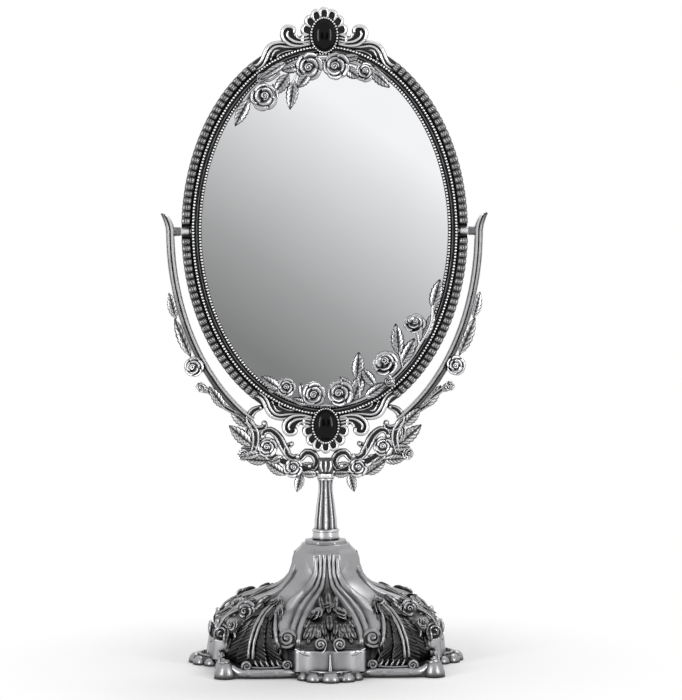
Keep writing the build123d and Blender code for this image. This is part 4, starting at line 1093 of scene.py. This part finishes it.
def sideLobe():
    # broad outer ribbon, two strands and a sunk panel on each half; below them a smooth apron
    apron = base["apron"]
    rows, stains = [], []
    for z in base["sideRows"]:
        outer, inner = atHeight(base["bandEdge"], z), atHeight(base["panelEdge"], z)
        below = min(1.0, max(0.0, apron["top"] - z))
        fade = min(1.0, max(0.0, (z - apron["fade"][0]) / apron["fade"][1]))
        high = min(1.0, 0.2 + (base["sideRows"][0] - z) / base["topFade"])
        half, stain = [], [1.0]
        for share in np.linspace(1, 0, base["ribbonSteps"]):
            x = inner + (outer - inner) * share
            rise, dark = ribbonRelief(share, z)
            flat = below * apron["rise"] * min(1, max(0, apron["edge"][0] - x) / apron["edge"][1])
            back = apron["turnBack"] * max(0.0, x - apron["half"])
            half.append((x, rise * fade * high + (1 - fade) * (flat - back)))
            stain.append(dark * fade + (1 - fade) * (1 - below) * 0.9 + 0.12 * below)
        for share in np.linspace(1, 0, base["panelSteps"])[1:]:
            swell = math.sin(math.pi * (0.12 + 0.72 * share))  # a valley beside the bar
            sink = base["panelSink"] * (1 - below) * min(1, inner / 3) * min(1, (1 - share) * 9)
            half.append((inner * share, below * (apron["barSwell"] * swell - apron["barSink"]) - sink))
            stain.append((1 - below) * min(1, inner / 2) * 0.75 + below * 0.5 * (1 - swell))
        right = [sideAt(x, z, rise)[0] for x, rise in half]
        row = [wallBehind(right[0].x - 0.6, right[0].y, z)] + [tuple(c) for c in right]
        rows.append(row + [(-x, y, z) for x, y, z in row[-2::-1]])
        stains += stain + stain[-2::-1]
    skin = fromRows("sideLobe", rows, patina=stains)
    smooth(skin, 55)
    return skin


def cornerLobe():
    # black ground between feathers, smooth and buffed above the flower
    rows, stains = [], []
    for z in base["cornerRows"]:
        half = atHeight(base["cornerEdge"], z)
        row = [tuple(cornerAt(x, z)[0]) for x in np.linspace(half, -half, base["cornerSteps"])]
        rows.append([wallBehind(*row[0][:2], z)] + row + [wallBehind(*row[-1][:2], z)])
        stains += [float(np.interp(z, *base["cornerPatina"]))] * (len(row) + 2)
    skin = fromRows("cornerLobe", rows, patina=stains)
    smooth(skin, 50)
    return skin


def alongSurface(place, points, widths, lift):
    # a stroke that follows a lobe's surface
    return [tuple(place(x, z, lift)[0]) for x, z in smoothLine(points)], widths


sideWork = {
    # volutes: middle, radius, turns, start in degrees, direction, width, and the points that lead in
    "volutes": [(22.9, 21.8, 5.5, 2.1, 0, -1, 2.5, [(28.8, 33.0), (29.4, 29.0), (29.2, 25.0)]),
                (5.1, 18.8, 3.2, 1.7, 200, -1, 1.8, [(18.6, 16.4), (14.2, 14.2), (9.4, 13.2), (4.2, 14.6)])],
    "voluteLift": 1.6, "leadLift": 1.0, "coilClimb": 0.03,  # the coil stands a little prouder at each point
    "groundSink": 1.5, "groundRise": 1.9, "eyeWidth": 0.46,  # black ground behind a volute and its round eye
    # flowers, leaves and a curl on each flank of a lobe, by distance from the axis and height
    "flankInset": 0.8, "wallRoses": [(45.8, 32.8, 6.0), (53.6, 25.6, 3.6)], "roseRise": 0.7,
    "wallLeaves": [((42.0, 30.0), (35.4, 36.6), 5.0), ((41.0, 27.0), (35.0, 26.0), 4.6),
                   ((48.0, 28.0), (44.0, 21.0), 4.8), ((51.0, 29.0), (55.0, 31.0), 4.0),
                   ((52.0, 22.0), (48.6, 15.0), 4.4), ((56.4, 22.4), (57.0, 15.4), 4.2),
                   ((46.0, 22.0), (42.6, 15.0), 4.4), ((56.0, 27.0), (61.0, 24.0), 4.0),
                   ((40.0, 34.6), (32.0, 40.0), 4.6), ((46.4, 36.0), (40.0, 38.4), 4.6),
                   ((50.0, 33.0), (54.4, 30.0), 4.4), ((40.4, 31.4), (33.6, 31.0), 4.4),
                   ((50.0, 20.0), (52.0, 12.4), 4.4), ((47.0, 26.0), (40.0, 21.0), 4.8),
                   ((54.6, 18.0), (56.2, 11.4), 4.0), ((44.4, 28.0), (39.0, 32.6), 4.4)],
    "wallVolute": (59.6, 20.8, 4.8), "wallVoluteWidths": [1.8, 1.8, 1.2], "wallGround": (-1.4, 2.0),
    "panelRoses": [((7.0, 33.6), 4.6, 0.5), ((0.0, 37.0), 3.4, 0.0), ((7.4, 24.6), 2.6, 0.2)],
    "panelLeaves": [((0.0, 34.0), (0.0, 41.6), 3.6), ((0.0, 33.4), (0.0, 24.0), 4.6),
                    ((3.4, 31.0), (2.6, 22.4), 3.8), ((5.4, 29.6), (6.0, 21.0), 3.8),
                    ((8.0, 29.6), (10.4, 21.0), 4.0), ((10.2, 29.4), (14.2, 21.6), 4.0),
                    ((10.6, 31.8), (14.0, 26.8), 3.2), ((3.0, 34.8), (4.6, 40.0), 3.0),
                    ((2.4, 27.0), (1.2, 20.4), 3.0), ((9.4, 26.0), (12.4, 19.4), 3.0),
                    ((3.6, 26.0), (5.6, 19.6), 3.0), ((10.0, 35.0), (11.4, 31.4), 2.6)],
    "leafRise": 1.1, "roseLift": 0.2, "leafLift": (0.1, 0.5),
    # upright bar in the middle of the apron and the rim at its corners: line, widths, lift
    "bar": ([(0.0, 14.0), (0.0, 10.0), (0.0, 5.0)], [0.9, 1.6, 2.6], 1.0),
    "apronRim": ([(13.6, 15.0), (16.4, 15.4), (18.8, 16.4)], [1.8, 1.8, 1.3], 0.7),
}
cornerWork = {
    "rib": ([(1.0, 38.6), (1.5, 33.0), (1.6, 26.0), (1.6, 18.0), (1.7, 8.6)], [1.4, 1.9, 1.9, 1.7], 0.7),
    "flowerHeight": 37.0, "flowerRadius": 4.0, "flowerRise": 3.0, "flowerLift": 0.6,
    # pairs of feathers from the top down; how far they reach at the top, more at each step, and at most
    "feathers": 13, "featherTop": 36.4, "featherStep": 2.35, "featherReach": (7.0, 1.5, 22.0),
    "featherWidth": 3.2, "featherRise": 3.4, "lowest": 4.6,
    # inner and outer feather: root from the middle in mm and as a share of the reach, tip's share, drop, lift
    "featherRows": [(2.2, 0.0, 0.55, 4.6, 0.5), (0.0, 0.45, 1.0, 6.6, 0.3)],
}


def quarterTurns(places):
    return [Matrix.Rotation(math.pi / 2 * k, 4, "Z") @ place for place in places for k in range(4)]


def turnPoints(points, degrees):
    c, s = math.cos(math.radians(degrees)), math.sin(math.radians(degrees))
    return [(x * c - y * s, x * s + y * c, z) for x, y, z in points]


def turnedStrokes(strokes, start):
    # strokes drawn for the front, turned by start degrees and repeated on all four sides
    return [(turnPoints(points, 90 * k + start), widths) for points, widths in strokes for k in range(4)]


def dome(name, stain):
    # a low half ball, stretched where it is placed
    deselect()
    bpy.ops.mesh.primitive_uv_sphere_add(segments=14, ring_count=10, radius=1)
    ball = bpy.context.object
    bpy.ops.object.mode_set(mode="EDIT")
    bpy.ops.mesh.select_all(action="SELECT")
    bpy.ops.mesh.bisect(plane_co=(0, 0, 0), plane_no=(0, 0, 1), clear_inner=True, use_fill=True)
    bpy.ops.object.mode_set(mode="OBJECT")
    ball.name = name
    paint(ball, [stain * (1 - v.co.z) for v in ball.data.vertices])
    return ball


def flankAt(mirror, out, z, lift=0.0):
    # a point on the flank of a side lobe, at a distance from the axis
    return mirror * (atHeight(base["bandEdge"], z) - sideWork["flankInset"] + lift), -out, z


def sideVolutes():
    spec = sideWork
    strokes, grounds = [], []
    for x, z, radius, turns, start, direction, width, lead in spec["volutes"]:
        for mirror in (-1, 1):
            centre, normal = sideAt(x * mirror, z, spec["voluteLift"])
            coil = [(centre.x + px * mirror, centre.y - spec["coilClimb"] * k, centre.z + pz)
                    for k, (px, pz) in enumerate(spiralPoints(0, 0, radius, turns, start, direction, 30))]
            tail = []
            for k, (px, pz) in enumerate(lead):
                on = sideAt(px * mirror, pz, spec["leadLift"])[0]
                # eases out to the coil's depth
                tail.append((on.x, on.y + (centre.y - on.y) * k / len(lead), on.z))
            strokes.append((tail + coil, [0.6 * width] + [width] * 4 + [0.7 * width]))
            grounds.append(placed(tuple(centre - normal * spec["groundSink"]), (normal.x, normal.y, 0),
                                  (0, 0, 1), radius, depth=spec["groundRise"]))
            eye = [(centre.x, centre.y + away, centre.z) for away in (0.8, -0.9)]
            strokes.append((eye, [spec["eyeWidth"] * radius]))
    return strokes, grounds


def flankWork(mirror):
    # flowers, leaves and a curl on one flank of a side lobe
    spec = sideWork
    blossoms = [placed(flankAt(mirror, out, z), (mirror, -0.25, 0.25), (0, -1, 1), radius,
                       depth=radius * spec["roseRise"]) for out, z, radius in spec["wallRoses"]]
    leaves = []
    for (out0, z0), (out1, z1), width in spec["wallLeaves"]:
        root = flankAt(mirror, out0, z0, 0.4)
        along = Vector(flankAt(mirror, out1, z1, 1.2)) - Vector(root)
        leaves.append(placed(root, (mirror, -0.1, 0.1), along, along.length, depth=width, width=width))
    out, z, radius = spec["wallVolute"]
    coil = [flankAt(mirror, out + px, z + pz, 0.4 + spec["coilClimb"] * k)
            for k, (px, pz) in enumerate(spiralPoints(0, 0, radius, 2, 90, 1, 28))]
    lift, rise = spec["wallGround"]
    ground = placed(flankAt(mirror, out, z, lift), (mirror, 0, 0), (0, 0, 1), radius, depth=rise)
    return blossoms, leaves, (coil, spec["wallVoluteWidths"]), ground


def panelWork(mirror):
    # half of the bouquet in the panel, with the apron's rim; what stands in the middle comes once
    spec = sideWork
    points, widths, lift = spec["apronRim"]
    rim = alongSurface(sideAt, [(x * mirror, z) for x, z in points], widths, lift)
    blossoms, leaves = [], []
    for (x, z), radius, lean in spec["panelRoses"]:
        if x == 0 and mirror < 0:
            continue
        point, normal = sideAt(x * mirror, z, spec["roseLift"])
        normal = normal + Vector((lean * mirror, 0, 0))
        blossoms.append(placed(tuple(point), normal, (mirror * math.sin(x), 0, math.cos(x)), radius,
                               depth=radius * spec["roseRise"]))
    for (x0, z0), (x1, z1), width in spec["panelLeaves"]:
        if x0 == 0 and mirror < 0:
            continue
        start, normal = sideAt(x0 * mirror, z0, spec["leafLift"][0])
        along = sideAt(x1 * mirror, z1, spec["leafLift"][1])[0] - start
        leaves.append(placed(tuple(start), normal, along, along.length, depth=spec["leafRise"] * width,
                             width=width))
    return blossoms, leaves, rim


def modelSideWork():
    # volutes, bouquet and apron bar of one side, then turned to the other three
    strokes, grounds = sideVolutes()
    leaves, blossoms = [], []
    for mirror in (-1, 1):
        roses, sprigs, coil, ground = flankWork(mirror)
        blossoms += roses
        leaves += sprigs
        strokes.append(coil)
        grounds.append(ground)
    strokes.append(alongSurface(sideAt, *sideWork["bar"]))
    for mirror in (-1, 1):
        roses, sprigs, rim = panelWork(mirror)
        blossoms += roses
        leaves += sprigs
        strokes.append(rim)
    lines = ridges("sideRidges", turnedStrokes(strokes, 0), sides=1, resolution=2)
    button = dome("voluteGround", 1.0)
    paint(button, [1.0] * len(button.data.vertices))
    parts = [lines, stamped("panelLeaves", smallLeaf, quarterTurns(leaves)),
             stamped("panelRoses", smallRose, quarterTurns(blossoms)),
             stamped("voluteGrounds", button, quarterTurns(grounds))]
    discard(button)
    return parts


def modelCornerWork():
    # double rib with feathers both sides and a flower head above, then turned to the other three
    turn = Matrix.Rotation(math.pi / 4, 3, "Z")
    spec = cornerWork
    ribLine, ribWidths, ribLift = spec["rib"]
    first, more, most = spec["featherReach"]
    strokes, feathers = [], []
    for mirror in (-1, 1):
        strokes.append(alongSurface(cornerAt, [(x * mirror, z) for x, z in ribLine], ribWidths, ribLift))
        for k in range(spec["feathers"]):
            z = spec["featherTop"] - spec["featherStep"] * k
            far = min(first + more * k, most)
            for root, share, tip, drop, lift in spec["featherRows"]:
                start, normal = cornerAt(mirror * (root + share * far), z, lift)
                end = cornerAt(mirror * far * tip, max(spec["lowest"], z - drop), lift + 0.2)[0]
                along = end - start
                feathers.append(placed(tuple(turn @ start), turn @ normal, turn @ along, along.length,
                                       depth=spec["featherRise"], width=spec["featherWidth"]))
    point, normal = cornerAt(0, spec["flowerHeight"], spec["flowerLift"])
    flower = [placed(tuple(turn @ point), turn @ normal, (0, 0, 1), spec["flowerRadius"],
                     depth=spec["flowerRise"])]
    lines = ridges("cornerRibs", turnedStrokes(strokes, 45), sides=1, resolution=2)
    return [lines, stamped("cornerFeathers", feather, quarterTurns(feathers)),
            stamped("cornerFlowers", smallRose, quarterTurns(flower))]


def modelBase():
    side, corner = sideLobe(), cornerLobe()
    quarter = [Matrix.Rotation(math.pi / 2 * k, 4, "Z") for k in range(4)]
    eighth = [Matrix.Rotation(math.pi / 2 * k + math.pi / 4, 4, "Z") for k in range(4)]
    parts = [stamped("sideLobes", side, quarter), stamped("cornerLobes", corner, eighth)]
    for part in parts:
        smooth(part, 55)
    discard(side, corner)
    core = turnedSkin("baseCore", base["core"], 96)
    paint(core, [1.0] * len(core.data.vertices))
    smooth(core, 40)
    parts.append(core)
    sides = 8
    corners = [(k + 0.5) * 2 * math.pi / sides for k in range(sides)]
    widen = 1 / math.cos(math.pi / sides)  # the neck is measured across its flats
    rows = [[(r * widen * math.cos(turn), r * widen * math.sin(turn), z) for turn in corners]
            for r, z in base["neck"]]
    neck = fromRows("octagonNeck", rows, closeAcross=True)
    edge = neck.modifiers.new("edge", "BEVEL")
    edge.width = 0.5 * mm
    edge.segments = 2
    applyModifiers(neck)
    smooth(neck, 30)
    parts.append(neck)
    parts += modelSideWork() + modelCornerWork() + [modelFlange(), modelFootScrolls()] + modelFootBalls()
    whole = joined("ornateBase", parts)
    quarters = [f"base_shell_{word}" for word in ("front", "right", "back", "left")]
    finish(whole, basePewter, "stand", "antique_pewter", *quarters)
    print("base modelled")


foot = {
    "half": 61.0, "corner": 9.0, "height": 4.4, "fanCentre": 59.0, "fanRadius": 17.0,
    # black left below and above the lip's top
    "edge": 1.8, "edgeSteps": 4, "lipTop": 1.5, "patina": (0.15, 0.75),
    # scrolls at both ends of a lip: middle, height, radius, turns, start in degrees, direction
    "scrolls": [(23.4, 7.4, 2.7, 1.6, 200, -1), (45.4, 7.0, 2.6, 1.5, -20, 1)],
    "scrollOut": 60.4, "scrollWidths": [1.7, 1.6, 1.1], "eyeOut": (57.6, 60.0), "eyeWidth": 4.4,
    "lip": [(19.6, -58.8, 3.4), (22.4, -59.6, 3.2), (28, -60.0, 3.0), (38, -60.2, 3.0), (46, -60.0, 3.1),
            (50.5, -59.4, 4.0), (53.6, -58.0, 6.4)],
    "lipWidths": [4.6, 5.4, 5.4, 5.2, 3.4],
    "shelf": [(26.6, -59.6, 6.3), (35, -60.2, 5.9), (43, -59.6, 6.2)], "shelfWidth": 1.1,
    # barbs of the feather between the scrolls: where they stand, and the line of one
    "barbs": (29.0, 32.0, 35.0, 38.0, 41.0), "barb": [(0, -58.6, 9.8), (-0.6, -59.6, 8.2), (-1.6, -60.0, 6.8)],
    "barbWidths": [0.8, 1.2, 0.9],
    "ledge": (13.0, 5.0, 1.4), "ledgeSweep": (-166, -14),  # step round a fan: radius, height, width
    "balls": [(0, 5.4, 15.25), (36, 4.7, 15.775), (66, 4.2, 16.15)],  # swing in degrees, radius, how far out
    "ballShape": (0.75, 0.98),  # a ball's thickness and height as shares of its radius
    "beads": 13, "beadReach": 12.6, "beadRadius": 1.7, "beadHeight": 3.8, "beadShape": 0.7,
    "beadSweep": (-170, -10),
    "knob": (57.2, 6.2, 9.9),  # distance out both ways, radius, height
    "knobSpiral": (3.9, 1.6, 135), "knobWidths": [1.2, 1.1, 0.8],
}


def fanAt(reach, angle, z):
    # a point on the front fan
    return reach * math.cos(angle), reach * math.sin(angle) - foot["fanCentre"], z


def flangeOutline():
    # round corners with a round fan between them on each side
    outline = []
    half, corner, centre, radius = (foot[key] for key in ("half", "corner", "fanCentre", "fanRadius"))
    spread = math.acos((half - centre) / radius)
    for k in range(4):
        start, middle = math.pi / 2 * k, math.pi / 2 * (k + 1)
        away = (half - corner) * math.sqrt(2)
        cx, cy = away * math.cos(start + math.pi / 4), away * math.sin(start + math.pi / 4)
        for turn in np.linspace(start, middle, 7):
            outline.append((cx + corner * math.cos(turn), cy + corner * math.sin(turn), base["rim"]))
        for turn in np.linspace(middle - spread, middle + spread, 17):
            outline.append((centre * math.cos(middle) + radius * math.cos(turn),
                            centre * math.sin(middle) + radius * math.sin(turn), base["rim"]))
    return outline


def modelFlange():
    flange = castPlate("footFlange", flangeOutline(), (0, 0, foot["height"] - base["rim"]), foot["edge"],
                       foot["edgeSteps"], 60)
    smooth(flange, 40)
    low, high = foot["patina"]
    paint(flange, [low if v.co.z < foot["lipTop"] * mm else high for v in flange.data.vertices])
    return flange


def modelFootScrolls():
    strokes = []
    for mirror in (-1, 1):
        for x, z, radius, turns, start, direction in foot["scrolls"]:
            coil = spiralPoints(x, z, radius, turns, start, direction, 20)
            strokes.append(([(px * mirror, -foot["scrollOut"], pz) for px, pz in coil], foot["scrollWidths"]))
            px, pz = coil[-1]
            strokes.append(([(px * mirror, -out, pz) for out in foot["eyeOut"]], [foot["eyeWidth"]]))
        lip = smoothLine(foot["lip"], 3.0)
        strokes.append(([(x * mirror, y, z) for x, y, z in lip], foot["lipWidths"]))
        strokes.append(([(x * mirror, y, z) for x, y, z in foot["shelf"]], [foot["shelfWidth"]]))
        for middle in foot["barbs"]:
            strokes.append(([((middle + x) * mirror, y, z) for x, y, z in foot["barb"]], foot["barbWidths"]))
    radius, height, width = foot["ledge"]
    sweep = np.radians(np.linspace(*foot["ledgeSweep"], 15))
    strokes.append(([fanAt(radius, turn, height) for turn in sweep], [width]))
    return ridges("footScrolls", turnedStrokes(strokes, 0), sides=1, resolution=2)


def modelFootBalls():
    thin, tall = foot["ballShape"]
    knobOut, knobRadius, knobHeight = foot["knob"]
    up = (0, 0, 1)
    places = []
    for swing, size, reach in foot["balls"]:
        for mirror in ((-1, 1) if swing else (1,)):
            turn = math.radians(-90 + mirror * swing)
            places.append(placed(fanAt(reach, turn, base["rim"]), up, (math.cos(turn), math.sin(turn), 0),
                                 thin * size, depth=tall * size, width=size))
    size = foot["beadRadius"]
    for turn in np.radians(np.linspace(*foot["beadSweep"], foot["beads"])):
        places.append(placed(fanAt(foot["beadReach"], turn, foot["beadHeight"]), up, (0, 1, 0),
                             size * foot["beadShape"], depth=size))
    places.append(placed((knobOut, -knobOut, base["rim"]), up, (0, 1, 0), knobRadius,
                         depth=knobHeight - base["rim"]))
    ball = dome("footBall", 0.3)
    balls = stamped("footBalls", ball, quarterTurns(places))
    discard(ball)
    radius, turns, start = foot["knobSpiral"]
    spiral = [(knobOut + x, -knobOut + y, knobHeight * math.sqrt(1 - (x ** 2 + y ** 2) / knobRadius ** 2) + 0.1)
              for x, y in spiralPoints(0, 0, radius, turns, start, 1, 26)]
    knobs = ridges("knobSpirals", turnedStrokes([(spiral, foot["knobWidths"])], 0), sides=1, resolution=1)
    return [balls, knobs]


def dressNodes():
    # plain nodes keep their solid shape and get their material
    looks = {
        "front_glass": silver, "rear_magnifying_glass": silver, "backing_board": board, "felt_pad": felt,
        "base_plate": enamel, "stem_tie_rod": steel, "tie_rod_nut": steel, "tie_rod_washer": steel,
        "upper_frame_screw": steel, "lower_frame_screw": steel,
    }
    for side in ("left", "right"):
        # the barrels' lighter steel carries painted light, lifted to make up for the dark notch they reflect
        looks[f"{side}_swivel_barrel"] = barrelSteelPaintedLight
        looks[f"{side}_pivot_spacer"] = spacerSteel
        looks[f"{side}_spring_washer"] = looks[f"{side}_pivot_pin"] = steel
    for name, material in looks.items():
        coat(frame["nodes"][name], material)
    print("glass, pivots and fastenings finished")


buildFrames()
buildSprays()
modelYoke()
modelStem()
modelBase()
dressNodes()
discard(bead, leaf, feather, rose, smallLeaf, smallRose)


studio = {
    "camera": {"place": (-0.050, -1.5, 0.2442), "tilt": 2.566, "yaw": -1.909, "roll": 0.2, "lens": 136.5,
               "shiftX": 0.0227},
    "floor": "#F4F4F4", "floorFade": (0.085, 0.21), "world": 0.62,
    # softboxes: place, aim, width, height, power
    "lamps": [((-0.80, -0.94, 0.40), (0, 0, 0.25), 0.18, 0.8, 6.6),
              ((0.80, -0.94, 0.42), (0, 0, 0.25), 0.18, 0.8, 5.8),
              ((0.3, 0.7, 1.4), (0, 0, 0.15), 0.8, 0.5, 6.0)],
    # matt black flags: place, width, height, lean in degrees from flat
    "flags": [((-0.44, -1.9, 0.3), 0.55, 0.9, 90), ((0.58, -1.9, 0.3), 0.55, 0.9, 90)],
    # paper that the glass shows: tones from bottom to top, and how much further up them a metre to the right is
    "paper": {"place": (0.065, -1.9, 0.2775), "width": 0.40, "height": 0.56,
              "lean": 1.25,
              "tones": [(0.05, "#868686"), (0.27, "#AAAAAA"), (0.44, "#CACACA"), (0.62, "#E8E8E8"),
                        (0.75, "#FFFFFF")]},
}


def studioPlane(name, place, width, height, lean):
    deselect()
    bpy.ops.mesh.primitive_plane_add(size=1, location=place, rotation=(math.radians(lean), 0, 0))
    plane = bpy.context.object
    plane.scale = (width, height, 1)
    bpy.ops.object.transform_apply(location=False, rotation=False, scale=True)
    plane.name = name
    return plane


def buildFloor():
    # pale painted floor that fades to the white behind it
    floor = studioPlane("studioFloor", (0, 0, 0), 6, 6, 0)
    material, tree, shader = newMaterial("paintedStudioFloor")
    shader.inputs["Base Color"].default_value = fromHex(studio["floor"])
    shader.inputs["Roughness"].default_value = 0.9
    place = addNode(tree, "ShaderNodeTexCoord").outputs["Object"]
    away = addNode(tree, "ShaderNodeVectorMath", {"operation": "LENGTH"}, in0=place).outputs["Value"]
    near, far = studio["floorFade"]
    fade = addNode(tree, "ShaderNodeMapRange",
                   {"From Min": near, "From Max": far, "interpolation_type": "SMOOTHSTEP"}, Value=away)
    path = addNode(tree, "ShaderNodeLightPath")
    seen = addNode(tree, "ShaderNodeMath", {"operation": "MAXIMUM"}, in0=path.outputs["Is Camera Ray"],
                   in1=path.outputs["Is Glossy Ray"])
    share = addNode(tree, "ShaderNodeMath", {"operation": "MULTIPLY"}, in0=fade.outputs[0], in1=seen.outputs[0])
    white = addNode(tree, "ShaderNodeEmission", {"Color": (1, 1, 1, 1), "Strength": 1.0})
    mix = addNode(tree, "ShaderNodeMixShader", None, in0=share.outputs[0], in1=shader.outputs[0],
                  in2=white.outputs[0])
    tree.links.new(mix.outputs[0], tree.nodes["Material Output"].inputs["Surface"])
    floor.data.materials.append(material)


def buildPaper():
    # graded paper behind the camera, which the glass shows as its pale sky
    spec = studio["paper"]
    paper = studioPlane("gradedPaper", spec["place"], spec["width"], spec["height"], 90)
    material, tree, shader = newMaterial("gradedPaperGlow")
    tree.nodes.remove(shader)
    glow = addNode(tree, "ShaderNodeEmission")
    coords = addNode(tree, "ShaderNodeTexCoord").outputs["Object"]
    place = addNode(tree, "ShaderNodeSeparateXYZ", None, Vector=coords)
    up = addNode(tree, "ShaderNodeMath", {"operation": "MULTIPLY_ADD"}, in0=place.outputs["Y"])
    up.inputs[1].default_value = 1 / spec["height"]
    up.inputs[2].default_value = 0.5
    lean = addNode(tree, "ShaderNodeMath", {"operation": "MULTIPLY_ADD"}, in0=place.outputs["X"],
                   in2=up.outputs[0])
    lean.inputs[1].default_value = spec["lean"]
    tone = ramp(tree, lean.outputs[0], [(at, fromHex(code)) for at, code in spec["tones"]])
    tree.links.new(tone, glow.inputs["Color"])
    tree.links.new(glow.outputs[0], tree.nodes["Material Output"].inputs["Surface"])
    paper.data.materials.append(material)
    paper.visible_camera = False


def buildWorld():
    scene = bpy.context.scene
    scene.view_settings.view_transform = "Standard"
    world = bpy.data.worlds.new("studio")
    scene.world = world
    world.use_nodes = True
    tree = world.node_tree
    ground = tree.nodes["Background"]
    ground.inputs["Color"].default_value = (1, 1, 1, 1)
    ground.inputs["Strength"].default_value = studio["world"]
    path = addNode(tree, "ShaderNodeLightPath")
    direct = addNode(tree, "ShaderNodeMath", {"operation": "MAXIMUM"}, in0=path.outputs["Is Camera Ray"],
                     in1=path.outputs["Is Glossy Ray"])
    seen = addNode(tree, "ShaderNodeMath", {"operation": "MAXIMUM"}, in0=direct.outputs[0],
                   in1=path.outputs["Is Transmission Ray"])
    white = addNode(tree, "ShaderNodeBackground", {"Color": (1, 1, 1, 1), "Strength": 1.0})
    mix = addNode(tree, "ShaderNodeMixShader", None, in0=seen.outputs[0], in1=ground.outputs[0],
                  in2=white.outputs[0])
    tree.links.new(mix.outputs[0], tree.nodes["World Output"].inputs["Surface"])


def buildStudio():
    spec = studio["camera"]
    deselect()
    turn = (math.radians(90 - spec["tilt"]), 0, math.radians(spec["yaw"]))
    bpy.ops.object.camera_add(location=spec["place"], rotation=turn)
    camera = bpy.context.object
    roll = Matrix.Rotation(math.radians(-spec["roll"]), 3, "Z")
    camera.rotation_euler = (camera.rotation_euler.to_matrix() @ roll).to_euler()
    camera.data.lens = spec["lens"]
    camera.data.shift_x = spec["shiftX"]
    camera.data.clip_start = 0.05
    bpy.context.scene.camera = camera
    buildWorld()
    buildFloor()
    buildPaper()
    black, _, shader = newMaterial("blackFlagCloth")
    shader.inputs["Base Color"].default_value = fromHex("#1A1A1A")
    shader.inputs["Roughness"].default_value = 1.0
    for place, width, height, lean in studio["flags"]:
        flag = studioPlane("blackFlag", place, width, height, lean)
        flag.data.materials.append(black)
        flag.visible_camera = False
    for place, aim, width, height, power in studio["lamps"]:
        deselect()
        bpy.ops.object.light_add(type="AREA", location=place)
        lamp = bpy.context.object
        lamp.data.shape = "RECTANGLE"
        lamp.data.size, lamp.data.size_y = width, height
        lamp.data.energy = power
        lamp.rotation_euler = (Vector(aim) - Vector(place)).to_track_quat("-Z", "Y").to_euler()
    print("studio ready")


buildStudio()
